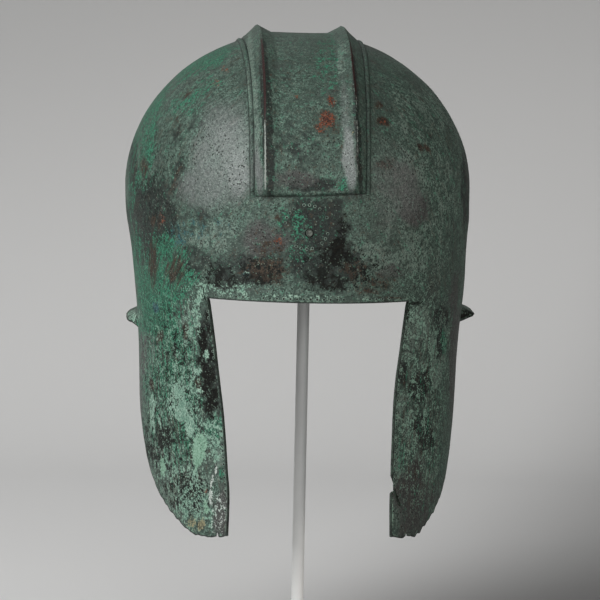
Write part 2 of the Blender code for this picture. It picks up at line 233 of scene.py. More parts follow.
def through_rows(rows, across, along, at):
    """One column of a table read at any place, on a curve that never overshoots."""
    x = np.array([getattr(row, across) for row in rows], float)
    y = np.array([getattr(row, along) for row in rows], float)
    rise = np.diff(y) / np.diff(x)
    slope = np.zeros(len(x))
    same_way = rise[:-1] * rise[1:] > 0
    total = np.where(same_way, rise[:-1] + rise[1:], 1.0)
    slope[1:-1] = np.where(same_way, 2 * rise[:-1] * rise[1:] / total, 0.0)
    slope[0], slope[-1] = rise[0], rise[-1]
    at = np.clip(np.asarray(at, float), x[0], x[-1])
    k = np.clip(np.searchsorted(x, at, side="right") - 1, 0, len(x) - 2)
    width = x[k + 1] - x[k]
    t = (at - x[k]) / width
    start = y[k] * (1 + 2 * t) * (1 - t) ** 2 + y[k + 1] * t * t * (3 - 2 * t)
    return start + width * t * (1 - t) * (slope[k] * (1 - t) - slope[k + 1] * t)


def ease(share):
    """0 to 1 with level ends."""
    share = np.clip(share, 0.0, 1.0)
    return share * share * (3 - 2 * share)


def section_sizes(height):
    drop = (WIDEST_HEIGHT - height) / (WIDEST_HEIGHT + CHEEK_LENGTH)
    return (
        BOWL_HALF_WIDTH * through_rows(SECTIONS, "drop", "width", drop),
        BOWL_FRONT * through_rows(SECTIONS, "drop", "front", drop),
        BOWL_BACK * through_rows(SECTIONS, "drop", "back", drop),
    )


def is_outside(points):
    x, y, z = points.T
    x = x + LEAN * ease(z / WIDEST_HEIGHT)
    half_width, front, back = section_sizes(z)
    up = np.clip((z - WIDEST_HEIGHT) / (CROWN_HEIGHT - WIDEST_HEIGHT), 0.0, None)
    side = np.abs(x) / half_width
    depth = np.abs(y) / np.where(y < 0, front, back)
    plan_power = 2 + np.where(y < 0, 0.0, BACK_FULLNESS)
    plan = (side**plan_power + depth**plan_power) ** (1 / plan_power)
    lengthwise = depth**2 / np.maximum(side**2 + depth**2, 1e-12)
    dome_power = 2 + DOME_FULLNESS * lengthwise
    return plan**dome_power + up**dome_power > 1


def reach_surface(starts, directions):
    near = np.zeros(len(starts))
    far = np.full(len(starts), 2 * (BOWL_FRONT + CROWN_HEIGHT))
    for _ in range(HALVINGS):
        middle = (near + far) / 2
        out = is_outside(starts + directions * middle[:, None])
        far = np.where(out, middle, far)
        near = np.where(out, near, middle)
    return starts + directions * near[:, None]


def round_the_axis(angle, height):
    half_width, front, back = section_sizes(height)
    turn = np.abs(angle)
    behind = turn > math.pi / 2
    power = 2 / (2 + np.where(behind, BACK_FULLNESS, 0.0))
    depth = np.abs(np.cos(turn)) ** power * np.where(behind, back, -front)
    side = np.abs(np.sin(turn)) ** power * half_width
    return np.sign(angle) * side, depth


def opening_angle(height, side):
    column = "right" if side > 0 else "left"
    half = OPENING_HALF_WIDTH * through_rows(FRONT_EDGES, "drop", column, -height / CHEEK_LENGTH)
    return np.arcsin(half / section_sizes(height)[0])


def crest_relief(aside, turn):
    """How far the crest holder stands out of the bowl, with rounded ends."""
    from_crown = np.abs(turn - math.pi / 2) / (math.pi / 2 - CREST_FRONT_END)
    floor = -CHANNEL_SINK_CROWN + (CHANNEL_LIFT_END + CHANNEL_SINK_CROWN) * ease(from_crown)
    flat = CHANNEL_HALF_WIDTH**2 / (2 * BOWL_HALF_WIDTH)
    aside = np.abs(aside)
    from_end = np.minimum(turn - CREST_FRONT_END, CREST_BACK_END - turn) * BOWL_FRONT
    step = ease(from_end / CHANNEL_END_STEP)
    into = np.clip(from_end / RIDGE_END_ROUNDING, 0.0, 1.0)
    blunt = np.sqrt(1 - (1 - into) ** 2)
    channel = (floor + aside**2 / (2 * BOWL_HALF_WIDTH)) * step
    outer = through_rows(MOULDINGS, "aside", "height", aside / MM) * MM * blunt
    rise = np.clip((aside - CHANNEL_HALF_WIDTH) / RIDGE_INNER_FACE, 0.0, 1.0) ** 1.15
    inner = (floor + flat) * (1 - rise) * step + RIDGE_HEIGHT * rise * blunt
    top = CHANNEL_HALF_WIDTH + RIDGE_INNER_FACE
    return np.where(aside < CHANNEL_HALF_WIDTH, channel, np.where(aside < top, inner, outer))


def row_turns():
    """Angles of the rows, close together at the brow rim and where the crest holder ends."""
    rim = np.array([0.0, 0.7, 1.6, 2.8, 4.2, 5.4, 6.0, 6.6, 7.4, 8.8]) * MM / BOWL_FRONT
    front_step = np.array([-0.6, 0.0, 0.35, 0.7, 1.1, 1.7, 2.5, 3.6, 5.0]) * MM / BOWL_FRONT
    brow = np.linspace(rim[-1], CREST_FRONT_END + front_step[0], 26)[1:-1]
    crown = np.linspace(CREST_FRONT_END + front_step[-1], math.radians(95.0), 74)[1:]
    back_step = np.array([5.0, 3.0, 1.6, 0.8, 0.3, 0.0, -0.6]) * MM / BOWL_FRONT
    back = np.linspace(math.radians(95.0), CREST_BACK_END - back_step[0], 40)[1:-1]
    nape = np.linspace(CREST_BACK_END - back_step[-1], math.pi, 14)[1:]
    return np.concatenate([
        rim, brow, CREST_FRONT_END + front_step, crown, back, CREST_BACK_END - back_step, nape,
    ])


def swell(points):
    distance = np.linalg.norm(points, axis=1)
    rim = reach_surface(np.zeros_like(points), points / distance[:, None])
    return distance / np.linalg.norm(rim, axis=1)


def outward(points):
    """Unit normals of the smooth bowl."""
    small = 0.5 * MM
    normals = np.zeros_like(points)
    for axis in range(3):
        shift = np.zeros(3)
        shift[axis] = small
        normals[:, axis] = swell(points + shift) - swell(points - shift)
    return normals / np.linalg.norm(normals, axis=1)[:, None]


def bowl_grid(turns, columns):
    """Places over the bowl, from the left cheek line over the crest to the right one."""
    rows = len(turns)
    starts = np.zeros((rows, len(columns), 3))
    lean = BOWL_FRONT * math.tan(CREST_SKEW) * np.cos(turns)
    top = CHANNEL_HALF_WIDTH + RIDGE_INNER_FACE
    beyond = np.maximum(np.abs(columns) - top, 0.0) * np.sign(columns)
    to_crown = ease((turns - CREST_FRONT_END) / (math.pi / 2 - CREST_FRONT_END))
    spread = (BEADS_SPREAD - 1) * to_crown[:, None] * beyond
    starts[:, :, 0] = columns + CREST_ASIDE + lean[:, None] + spread
    # The rows bend a little near the front end, so that it runs as level as the real one.
    aside = columns / END_REACH
    lift = END_DIP + END_SLANT * aside + END_RISE * aside**2
    near_end = ease(turns / CREST_FRONT_END) * (1 - to_crown)
    bent = turns[:, None] + near_end[:, None] * lift / BOWL_FRONT
    aims = np.stack([np.zeros_like(bent), -np.cos(bent), np.sin(bent)], axis=2)
    band = reach_surface(starts.reshape(-1, 3), aims.reshape(-1, 3)).reshape(rows, -1, 3)
    lobes = {}
    for side, rim_end in ((-1, band[:, 0]), (1, band[:, -1])):
        corner = opening_angle(np.zeros(1), side)[0]
        angles = side * (corner + (math.pi - 2 * corner) * turns / math.pi)
        x, y = round_the_axis(angles, np.zeros(rows))
        low = np.stack([x, y, np.zeros(rows)], axis=1)
        share = np.linspace(0.0, 1.0, LOBE_COLUMNS + 1)[None, 1:, None]
        fan = rim_end[:, None] * (1 - share) + low[:, None] * share
        fan /= np.linalg.norm(fan, axis=2)[:, :, None]
        fan = fan.reshape(-1, 3)
        lobes[side] = reach_surface(np.zeros_like(fan), fan).reshape(rows, -1, 3)
    flat = band.reshape(-1, 3)
    relief = crest_relief(np.tile(columns, rows), np.repeat(turns, len(columns)))
    band = (flat + outward(flat) * relief[:, None]).reshape(rows, -1, 3)
    return np.concatenate([lobes[-1][:, ::-1], band, lobes[1]], axis=1)


def neck_edge(angle, aside):
    arch = NECK_ARCH * ease((np.abs(angle) - ARCH_STARTS) / (ARCH_FULL - ARCH_STARTS))
    return -(NECK_DROP - arch - NECK_SLANT * aside / BOWL_HALF_WIDTH)


def skirt_column(top):
    """Places straight down from one place on the brow's level to the worn hem."""
    half_width, front, back = section_sizes(np.zeros(1))
    side = 1.0 if top[0] >= 0 else -1.0
    power = (2 + (BACK_FULLNESS if top[1] > 0 else 0.0)) / 2
    depth = top[1] / (front[0] if top[1] < 0 else back[0])
    forward = -math.copysign(abs(depth) ** power, depth)
    angle = math.atan2(abs(top[0] / half_width[0]) ** power, forward)
    edge = neck_edge(np.array([angle]), np.array([top[0]]))[0]
    reach = through_rows(HEM, "angle", "reach", [math.degrees(angle)])[0]
    hem = edge - (CHEEK_LENGTH + edge) * reach
    ragged = noise.noise(Vector((top[0], top[1], 0.3 * side)) / RAGGED_SIZE)
    hem += RAGGED_DEPTH * ragged * (0.35 + reach)
    rows = max(4, round(-hem / SKIRT_STEP))
    heights = hem * np.linspace(0.0, 1.0, rows + 1)[1:]
    corner = opening_angle(np.zeros(1), side)[0]
    corners = opening_angle(heights, side)
    angles = corners + (angle - corner) * (math.pi - corners) / (math.pi - corner)
    x, y = round_the_axis(side * angles, heights)
    points = np.column_stack([x, y, heights])
    curl = np.clip((edge + FLARE_HEIGHT - heights) / FLARE_HEIGHT, 0.0, 1.0) ** FLARE_CURL
    reaches = through_rows(FLARES, "angle", "reach", np.degrees(angles)) * MM
    slant = FLARE_SLANT * top[0] / BOWL_HALF_WIDTH
    flare = (reaches + slant * ease(reaches / SLANT_FULL_REACH)) * curl
    level = np.column_stack([x / half_width**2, y / back**2, np.zeros(rows)])
    level /= np.linalg.norm(level, axis=1)[:, None]
    return points + level * flare[:, None]


def zip_columns(left, right):
    """Faces between two columns that may have different numbers of places."""
    faces = []
    last_left, last_right = len(left) - 1, len(right) - 1
    if last_left == last_right:
        for k in range(last_left):
            faces.append((left[k], left[k + 1], right[k + 1], right[k]))
        return faces
    i = j = 0
    while i < last_left or j < last_right:
        if j == last_right or (i < last_left and (i + 1) * last_right <= (j + 1) * last_left):
            faces.append((left[i], left[i + 1], right[j]))
            i += 1
        else:
            faces.append((left[i], right[j + 1], right[j]))
            j += 1
    return faces


def fine_sheet():
    """The helmet's outer face: its places, faces, and how far across and down the flow each is."""
    turns = row_turns()
    half = np.array(BAND_ASIDES) * MM
    columns = np.concatenate([-half[::-1], [0.0], half])
    grid = bowl_grid(turns, columns)
    rows, across_count = grid.shape[:2]
    points = [tuple(p) for p in grid.reshape(-1, 3)]
    steps = np.linalg.norm(np.diff(grid, axis=1), axis=2)
    # The crest holder has no streaks, so its flow is not drawn out.
    steps[:, LOBE_COLUMNS:-LOBE_COLUMNS] /= STREAK_SHORTENING
    walked = np.concatenate([np.zeros((rows, 1)), np.cumsum(steps, axis=1)], axis=1)
    down = np.abs(walked - walked[:, [across_count // 2]])
    across = np.repeat(turns[:, None] * BOWL_FRONT, across_count, axis=1)
    flow = [tuple(f) for f in np.stack([across, down], axis=2).reshape(-1, 2)]
    faces = []
    for j in range(rows - 1):
        for c in range(across_count - 1):
            a = j * across_count + c
            faces.append((a, a + 1, a + across_count + 1, a + across_count))
    right = [j * across_count + across_count - 1 for j in range(rows)]
    nape = [(rows - 1) * across_count + c for c in range(across_count - 2, 0, -1)]
    left = [j * across_count for j in range(rows - 1, -1, -1)]
    strips = []
    for i in right + nape + left:
        column = skirt_column(np.array(points[i]))
        ids = [i] + list(range(len(points), len(points) + len(column)))
        points.extend(tuple(p) for p in column)
        for p in column:
            flow.append((flow[i][0] + (points[i][0] if i in nape else 0.0), flow[i][1] - p[2]))
        strips.append(ids)
    for one, other in zip(strips, strips[1:]):
        faces.extend(zip_columns(one, other))
    rim = [strip[-1] for strip in strips] + strips[0] + strips[-1] + list(range(across_count))

    def along_the_crest(asides):
        """The places in the columns nearest to some distances aside of the crest's middle."""
        both = [side * a for a in asides for side in (-1, 1)]
        picked = [LOBE_COLUMNS + int(np.argmin(np.abs(columns - a))) for a in both]
        return [j * across_count + c for c in picked for j in range(rows)
                if CREST_FRONT_END < turns[j] < CREST_BACK_END]

    crest = along_the_crest([CHANNEL_HALF_WIDTH + RIDGE_INNER_FACE + RIDGE_TOP_HALF])
    grooves = along_the_crest([a * MM for a in GROOVE_ASIDES])
    # The foot of the crest holder's front end is treated as a groove too, so that painted shade darkens
    # it.
    foot = int(np.argmin(np.abs(turns - CREST_FRONT_END))) * across_count
    grooves += [foot + LOBE_COLUMNS + c for c in np.flatnonzero(np.abs(columns) < FOOT_HALF_WIDTH)]
    return np.array(points), faces, np.array(flow), rim, crest, grooves


def weathered(points, faces):
    """The sheet with its brow band and the gentle unevenness of hammered, buried bronze."""
    mesh = bpy.data.meshes.new("helmet_sheet")
    mesh.from_pydata([tuple(p) for p in points], [], faces)
    normals = np.zeros(len(points) * 3)
    mesh.vertices.foreach_get("normal", normals)
    normals = normals.reshape(-1, 3)
    lift = np.zeros(len(points))
    for i, p in enumerate(points):
        place = Vector(p)
        lift[i] += SWELL_HEIGHT * noise.noise(place / SWELL_SIZE)
        lift[i] += HAMMER_HEIGHT * noise.noise(place / HAMMER_SIZE)
    x, y, z = points.T
    brow = (y < 0) & (z > -0.1 * MM) & (np.abs(x) < 1.05 * OPENING_HALF_WIDTH)
    band = 1 - ease((z - BAND_WIDTH + 0.5 * MM) / MM)
    lift += np.where(brow, BAND_HEIGHT * band, 0.0)
    return mesh, points + normals * lift[:, None]


# The camera's axes.
BACKWARD = Vector((
    math.sin(CAMERA_TURN) * math.cos(CAMERA_RISE),
    -math.cos(CAMERA_TURN) * math.cos(CAMERA_RISE),
    math.sin(CAMERA_RISE),
))
LEVEL_RIGHT = Vector((math.cos(CAMERA_TURN), math.sin(CAMERA_TURN), 0.0))
LEVEL_UP = BACKWARD.cross(LEVEL_RIGHT)
RIGHT = LEVEL_RIGHT * math.cos(CAMERA_ROLL) + LEVEL_UP * math.sin(CAMERA_ROLL)
UP = LEVEL_UP * math.cos(CAMERA_ROLL) - LEVEL_RIGHT * math.sin(CAMERA_ROLL)
EYE = HELMET_PLACE + BACKWARD * CAMERA_DISTANCE


def to_image(points):
    """Where world places appear in the photograph."""
    away = points - np.array(EYE)
    depth = -away @ np.array(BACKWARD)
    x = AIM_PIXEL[0] + FOCAL_PIXELS * (away @ np.array(RIGHT)) / depth
    y = AIM_PIXEL[1] - FOCAL_PIXELS * (away @ np.array(UP)) / depth
    return x, y


def sight_line(x, y):
    """Direction from the camera through a place in the photograph."""
    aside = (x - AIM_PIXEL[0]) / FOCAL_PIXELS
    over = (AIM_PIXEL[1] - y) / FOCAL_PIXELS
    return (RIGHT * aside + UP * over - BACKWARD).normalized()


def new_object(name, mesh):
    made = bpy.data.objects.new(name, mesh)
    bpy.context.scene.collection.objects.link(made)
    return made


# Places where metal is missing, as outlines in the photograph's pixels. depth is in mm: a
# crack stays in the sheet's face, and a notch goes through.
Loss = namedtuple("Loss", "name depth outline")
LOSSES = (
    Loss("cheek_notch", 9.0, (
        (385.0, 474.0), (390.2, 475.4), (391.6, 479.0), (393.2, 484.0), (393.0, 488.0),
        (393.2, 490.7), (390.8, 492.0), (389.8, 493.4), (385.0, 494.0),
    )),
    Loss("cheek_slit", 0.7, (
        (393.6, 490.2), (395.6, 490.8), (397.2, 497.0), (399.4, 501.4), (400.8, 505.5),
        (399.4, 505.6), (396.2, 500.5), (394.6, 495.0),
    )),
    Loss("right_corner_crack", 0.6, (
        (408.2, 302.8), (419.6, 302.7), (423.0, 300.4), (423.4, 301.2), (420.0, 303.8),
        (408.2, 303.9),
    )),
    Loss("left_corner_crack", 1.1, (
        (202.6, 287.0), (203.5, 287.0), (204.7, 296.5), (207.0, 301.0), (204.0, 299.0),
    )),
    Loss("hem_nick_left", 9.0, ((215.6, 541.0), (217.3, 532.4), (219.6, 541.0))),
    Loss("hem_nick_right", 9.0, ((403.6, 543.0), (406.0, 533.6), (408.4, 543.0))),
)
LOSS_REACH = 9.0 * MM
SHEET_SLOPE = 12.0 * MM


def loss_cutter(loss, tree):
    """A prism along the lines of sight, which ends a loss's depth below the sheet's face.
    Where a corner misses the sheet, the nearest place that another corner meets is used."""
    lines = [sight_line(x, y) for x, y in loss.outline]
    hits = [tree.ray_cast(EYE, line)[3] for line in lines]
    nearest = min(hit for hit in hits if hit is not None)
    hits = [nearest if h is None or h > nearest + SHEET_SLOPE else h for h in hits]
    end = loss.depth * MM
    solid = bmesh.new()
    near = [solid.verts.new(EYE + line * (h - LOSS_REACH)) for line, h in zip(lines, hits)]
    far = [solid.verts.new(EYE + line * (h + end)) for line, h in zip(lines, hits)]
    count = len(near)
    solid.faces.new(near)
    solid.faces.new(far[::-1])
    for i in range(count):
        k = (i + 1) % count
        solid.faces.new((near[k], near[i], far[i], far[k]))
    bmesh.ops.recalc_face_normals(solid, faces=solid.faces)
    return solid


def forehead_place():
    start = np.array([[RIVET_ASIDE, 0.0, RIVET_HEIGHT]])
    return Vector(reach_surface(start, np.array([[0.0, -1.0, 0.0]]))[0])


def cut_all(helmet, tree, finish):
    """Cuts the losses and the crest hole out of the helmet, and gives their sides a finish."""
    cutters = bpy.data.collections.new("cutters")
    bpy.context.scene.collection.children.link(cutters)
    made = []
    for loss in LOSSES:
        solid = loss_cutter(loss, tree)
        mesh = bpy.data.meshes.new(loss.name)
        solid.to_mesh(mesh)
        solid.free()
        made.append(bpy.data.objects.new(loss.name, mesh))
    hole = bmesh.new()
    bmesh.ops.create_cone(
        hole, cap_ends=True, segments=48, radius1=RIVET_RADIUS + GAP, radius2=RIVET_RADIUS + GAP,
        depth=14.0 * MM,
    )
    bmesh.ops.rotate(hole, matrix=Matrix.Rotation(math.pi / 2, 3, "X"), verts=hole.verts)
    bmesh.ops.translate(hole, vec=HELMET_PLACE + forehead_place(), verts=hole.verts)
    mesh = bpy.data.meshes.new("crest_hole")
    hole.to_mesh(mesh)
    hole.free()
    made.append(bpy.data.objects.new("crest_hole", mesh))
    for cutter in made:
        cutter.data.materials.append(finish)
        cutters.objects.link(cutter)
    boolean = helmet.modifiers.new("losses", "BOOLEAN")
    boolean.operation = "DIFFERENCE"
    boolean.operand_type = "COLLECTION"
    boolean.collection = cutters
    boolean.material_mode = "TRANSFER"
    boolean.solver = "MANIFOLD"
    bpy.context.view_layer.update()
    depsgraph = bpy.context.evaluated_depsgraph_get()
    solid = bpy.data.meshes.new_from_object(helmet.evaluated_get(depsgraph))
    for cutter in made:
        bpy.data.objects.remove(cutter)
    bpy.data.collections.remove(cutters)
    helmet.modifiers.clear()
    helmet.data = solid
    return solid


# Where the main stains sit in the photograph, in pixels. turn is in degrees, clockwise, and strength says
# how fully the stain covers. Some rows paint highlights and shade rather than stains.
Stain = namedtuple("Stain", "kind x y half_width half_height turn strength")
STAINS = (
    # The dome's left shoulder and side.
    Stain("emerald", 175, 70, 62, 12, -38, 0.52),
    Stain("emerald", 150, 110, 48, 11, -58, 0.50),
    Stain("emerald", 205, 62, 34, 9, -24, 0.60),
    Stain("emerald", 196, 96, 30, 12, -35, 0.36),
    Stain("emerald", 133, 180, 6, 46, 4, 0.35),
    Stain("emerald", 148, 150, 8, 36, 10, 0.50),
    Stain("pale", 135, 60, 40, 10, -52, 0.40),
    Stain("pale", 118, 140, 8, 50, 8, 0.45),
    Stain("dark", 190, 125, 34, 14, -30, 0.35),
    Stain("brown", 143, 168, 5, 12, 0, 0.50),
    Stain("brown", 185, 95, 10, 6, -30, 0.35),
    Stain("brown", 172, 118, 8, 6, 0, 0.35),
    Stain("brown", 177, 182, 7, 20, 12, 0.42),
    Stain("dark", 177, 182, 9, 24, 12, 0.55),
    Stain("rust", 225, 70, 5, 4, 0, 0.34),
    Stain("rust", 216, 84, 5, 3, 0, 0.34),
    # Painted highlight: a broad pale grey patch on the dome's left, where the key lamp's reflection
    # falls.
    Stain("metal_and_painted_sheen", 222, 154, 34, 52, 10, 0.56),
    Stain("metal_and_painted_sheen", 238, 172, 14, 30, 6, 0.66),
    Stain("metal_and_painted_sheen", 210, 184, 32, 24, 0, 0.52),
    Stain("dark", 150, 222, 26, 46, 0, 0.90),
    Stain("dark", 185, 262, 34, 18, 0, 0.50),
    Stain("dark", 205, 214, 30, 8, 0, 0.40),
    # The crest holder.
    # Painted light: the left ridge's outer face, which faces the key lamp, is painted pale.
    Stain("pale", 254, 110, 4, 80, -4, 0.95),
    Stain("dark", 300, 150, 28, 24, 0, 0.42),
    # Painted shade: the left ridge's inner face, turned away from the key lamp, is painted dark.
    Stain("dark", 267, 120, 5.5, 80, -3, 1.00),
    # Painted highlight low on the left ridge's outer face.
    Stain("metal_and_painted_sheen", 258, 168, 4, 26, -4, 0.80),
    Stain("crest_rust", 262, 82, 12, 46, 0, 1.00),
    Stain("crest_rust", 349, 75, 10, 36, 0, 1.00),
    # Painted highlights: pale lines down the lower crests, where they catch the key lamp.
    Stain("crest_painted_highlight", 263, 155, 10, 34, 0, 1.00),
    Stain("crest_painted_highlight", 354, 140, 7, 54, 0, 0.60),
    Stain("grey", 298, 180, 24, 10, 0, 0.85),
    Stain("dark", 312, 185, 28, 7, 0, 0.90),
    Stain("emerald", 345, 186, 8, 6, 0, 0.70),
    Stain("emerald", 326, 60, 14, 30, 0, 0.30),
    # Painted highlight down the right ridge's inner face, which faces the key lamp.
    Stain("metal_and_painted_sheen", 349, 160, 5, 32, -4, 1.05),
    Stain("metal_and_painted_sheen", 345, 108, 5, 30, -4, 0.32),
    Stain("pale", 341, 58, 5, 16, 0, 0.70),
    # Painted shade: the right ridge's outer side, turned from the key lamp, is painted dark.
    Stain("dark", 357, 120, 3, 80, -3, 0.80),
    Stain("rust", 329, 118, 7, 7, 0, 1.00),
    Stain("rust", 320, 127, 7, 3, 0, 0.60),
    Stain("brown", 327, 124, 16, 12, 0, 0.50),
    Stain("rust", 331, 102, 4, 9, 0, 0.60),
    Stain("rust", 297, 98, 4, 3, 0, 0.35),
    Stain("ochre", 353, 133, 2, 3, 0, 0.90),
    # The dome's right side.
    Stain("grey", 398, 180, 22, 20, 0, 0.35),
    Stain("brown", 383, 122, 7, 5, 0, 0.80),
    Stain("brown", 378, 106, 5, 4, 0, 0.50),
    Stain("brown", 424, 148, 7, 4, 20, 0.65),
    Stain("brown", 386, 163, 8, 7, 0, 0.60),
    Stain("rust", 384, 122, 3, 3, 0, 0.50),
    Stain("pale", 440, 235, 14, 60, 0, 0.30),
    # The forehead.
    Stain("teal", 200, 226, 34, 12, 0, 0.24),
    Stain("pale", 213, 236, 28, 17, 0, 0.50),
    Stain("pale", 262, 203, 16, 5, 0, 0.40),
    Stain("grey", 263, 237, 20, 18, 0, 0.75),
    Stain("brown", 268, 246, 14, 12, 0, 0.45),
    Stain("rust", 278.5, 239, 4, 5, 0, 0.55),
    Stain("brown", 280, 219, 5, 5, 0, 0.50),
    Stain("emerald", 298, 226, 15, 18, 0, 0.32),
    Stain("emerald", 288, 218, 10, 10, 0, 0.40),
    Stain("dark", 322, 222, 24, 28, 0, 0.75),
    Stain("black", 337, 254, 15, 15, 0, 0.80),
    Stain("black", 344, 226, 8, 12, 0, 0.40),
    Stain("brown", 354, 268, 14, 10, 0, 0.50),
    Stain("black", 330, 280, 24, 11, 0, 0.45),
    Stain("brown", 372, 284, 26, 10, 0, 0.40),
    Stain("black", 218, 277, 14, 11, 0, 0.55),
    Stain("black", 250, 278, 26, 9, 0, 0.45),
    Stain("brown", 262, 272, 22, 14, 0, 0.80),
    Stain("brown", 353, 274, 8, 6, 0, 0.60),
    Stain("teal", 246, 273, 5, 5, 0, 0.80),
    Stain("crust", 246, 273, 3, 3, 0, 0.38),
    Stain("pale", 379, 257, 22, 16, 0, 0.62),
    Stain("pale", 410, 250, 26, 26, 0, 0.50),
    Stain("pale", 420, 190, 40, 50, 10, 0.42),
    Stain("pale", 420, 110, 30, 34, 40, 0.38),
    # A weak painted highlight on the dome's right.
    Stain("metal_and_painted_sheen", 396, 186, 26, 40, -8, 0.30),
    Stain("emerald", 300, 251, 14, 10, 0, 0.30),
    Stain("dark", 306, 227, 30, 30, 0, 0.62),
    Stain("dark", 250, 268, 46, 18, 0, 0.60),
    # Painted shade: narrow dark strips just inside the dome's left and right outlines.
    Stain("dark", 132, 200, 5, 70, 2, 0.80),
    Stain("dark", 466, 190, 5, 70, -2, 0.60),
    Stain("emerald", 170, 285, 26, 22, 0, 0.70),
    Stain("grey", 415, 211, 18, 15, 0, 0.65),
    Stain("grey", 393, 271, 14, 11, 0, 0.80),
    Stain("pale", 388, 232, 3, 18, 0, 0.70),
    Stain("brown", 389, 297.6, 15, 1.2, 2, 0.70),
    Stain("crust", 203, 293, 3, 9, 0, 0.60),
    Stain("crust", 232, 291, 28, 3.2, 3, 0.20),
    Stain("crust", 290, 297, 90, 2.0, 1, 0.18),
    # The left temple and cheek.
    Stain("emerald", 136, 262, 8, 36, -2, 0.50),
    Stain("emerald", 155, 262, 5, 26, -2, 0.75),
    Stain("emerald", 165, 243, 8, 8, 0, 0.90),
    Stain("emerald", 155, 312, 17, 26, 0, 1.05),
    Stain("emerald", 172, 336, 12, 18, 0, 0.75),
    Stain("emerald", 145, 290, 9, 26, 0, 0.85),
    Stain("emerald", 176, 372, 15, 14, 0, 0.75),
    Stain("emerald", 162, 356, 9, 30, 0, 0.50),
    Stain("teal", 180, 237, 8, 10, 0, 0.50),
    Stain("teal", 155.6, 307, 3, 5, 0, 1.00),
    Stain("dark", 166, 318, 4, 11, 12, 0.85),
    Stain("brown", 155, 222, 8, 8, 0, 0.50),
    Stain("rust", 162, 221, 4, 4, 0, 0.36),
    Stain("brown", 153, 262, 4, 26, 0, 0.60),
    Stain("brown", 176, 270, 9, 14, 0, 0.55),
    Stain("brown", 186.3, 331, 3, 8, 0, 0.90),
    Stain("black", 174.7, 348, 2.5, 6, 0, 0.70),
    Stain("brown", 160.6, 336, 4, 7, 0, 0.70),
    Stain("grey", 143, 372, 5, 44, 0, 0.80),
    Stain("scab", 172, 410, 36, 110, -4, 0.12),
    Stain("scar", 172, 410, 36, 110, -4, 0.15),
    Stain("brown", 178, 420, 34, 100, -4, 0.30),
    Stain("emerald", 172, 385, 34, 90, -4, 0.44),
    Stain("dark", 165, 400, 34, 100, -4, 0.40),
    Stain("pale", 185, 480, 34, 50, -10, 0.45),
    Stain("crust", 176, 375, 14, 8, 0, 0.30),
    Stain("brown", 153, 385, 2, 8, 0, 0.70),
    Stain("pale", 151, 358, 4, 22, 0, 0.70),
    Stain("pale", 190, 325, 12, 22, 0, 0.80),
    Stain("crust", 192, 322, 9, 22, 0, 0.32),
    Stain("crust", 199, 300, 3, 12, 0, 0.60),
    Stain("black", 210, 318, 5, 20, 0, 0.66),
    Stain("black", 203, 340, 5, 14, -12, 0.85),
    Stain("black", 207, 360, 9, 14, -8, 0.72),
    Stain("black", 210, 392, 9, 28, -4, 0.74),
    Stain("dark", 210, 366, 10, 50, -4, 0.90),
    Stain("brown", 198.8, 383, 4, 5, 0, 0.90),
    Stain("crust", 206, 354, 3, 4, 0, 0.70),
    Stain("crust", 197, 372, 4, 4, 0, 0.90),
    Stain("crust", 200, 390.7, 3.2, 3.4, 0, 0.95),
    Stain("crust", 178, 391, 7, 9, 0, 0.90),
    Stain("crust", 181, 408, 8, 13, -8, 0.82),
    Stain("crust", 171, 402, 4, 16, 0, 0.55),
    Stain("crust", 152, 408, 3, 16, 0, 0.60),
    Stain("crust", 153.6, 421, 0.9, 14, -4, 1.00),
    Stain("crust", 160.3, 424, 0.9, 9, -14, 1.00),
    Stain("dark", 157, 400, 3, 16, 0, 0.70),
    Stain("black", 166, 437, 8, 12, 0, 0.85),
    Stain("black", 149, 451, 5, 11, 0, 0.70),
    Stain("grey", 160, 453, 4, 5, 0, 0.90),
    Stain("crust", 190, 427, 5, 9, 0, 0.90),
    Stain("crust", 189, 416, 6, 5, 0, 0.60),
    Stain("emerald", 188, 444, 4, 5, 0, 0.90),
    Stain("mint", 198.4, 451, 7, 18, 6, 1.05),
    Stain("emerald", 215, 428, 9, 14, 0, 0.85),
    Stain("crust", 215, 430, 8, 13, 0, 0.50),
    Stain("pale", 219, 458, 5, 10, 0, 0.80),
    Stain("emerald", 221.7, 474, 2.5, 6, 0, 0.80),
    Stain("mint", 162, 466, 2.6, 9, 0, 0.95),
    Stain("crust", 184, 474, 16, 12, 0, 0.34),
    Stain("white", 210.5, 497, 1.6, 8, 0, 1.00),
    Stain("white", 215.7, 471, 1.2, 5, 10, 0.90),
    Stain("white", 212, 480, 1.4, 7, 16, 0.70),
    Stain("grey", 221, 512, 9, 26, 0, 0.85),
    Stain("white", 219, 512, 9, 26, 0, 0.33),
    Stain("brown", 191.5, 494.5, 3, 5, 0, 0.80),
    Stain("rust", 206, 492, 2, 4, 0, 0.45),
    Stain("black", 186.4, 490, 3.5, 9, 0, 0.75),
    Stain("mint", 206, 508, 2.4, 7, 0, 0.90),
    Stain("crust", 190, 508, 16, 12, 0, 0.32),
    Stain("ochre", 200, 525.5, 4, 6, 0, 0.85),
    Stain("ochre", 191, 522, 4, 7, 0, 0.55),
    # The left neck guard tip is painted pale, partly its crust and grey and partly painted light where it
    # faces the key lamp.
    Stain("crust", 130, 314, 9, 6, 0, 0.60),
    Stain("grey", 130, 320, 9, 6, 0, 0.60),
    Stain("scab", 184, 390, 16, 34, 0, 0.34),
    Stain("scab", 206, 445, 16, 26, 0, 0.36),
    Stain("scab", 192, 318, 10, 26, 0, 0.30),
    Stain("scab", 196, 506, 20, 26, 0, 0.36),
    Stain("scab", 166, 470, 14, 12, 0, 0.28),
    Stain("scab", 222, 288, 34, 5, 0, 0.26),
    Stain("scar", 158, 440, 22, 30, 0, 0.40),
    Stain("scar", 188, 492, 22, 18, 0, 0.36),
    Stain("scar", 178, 345, 12, 20, 0, 0.24),
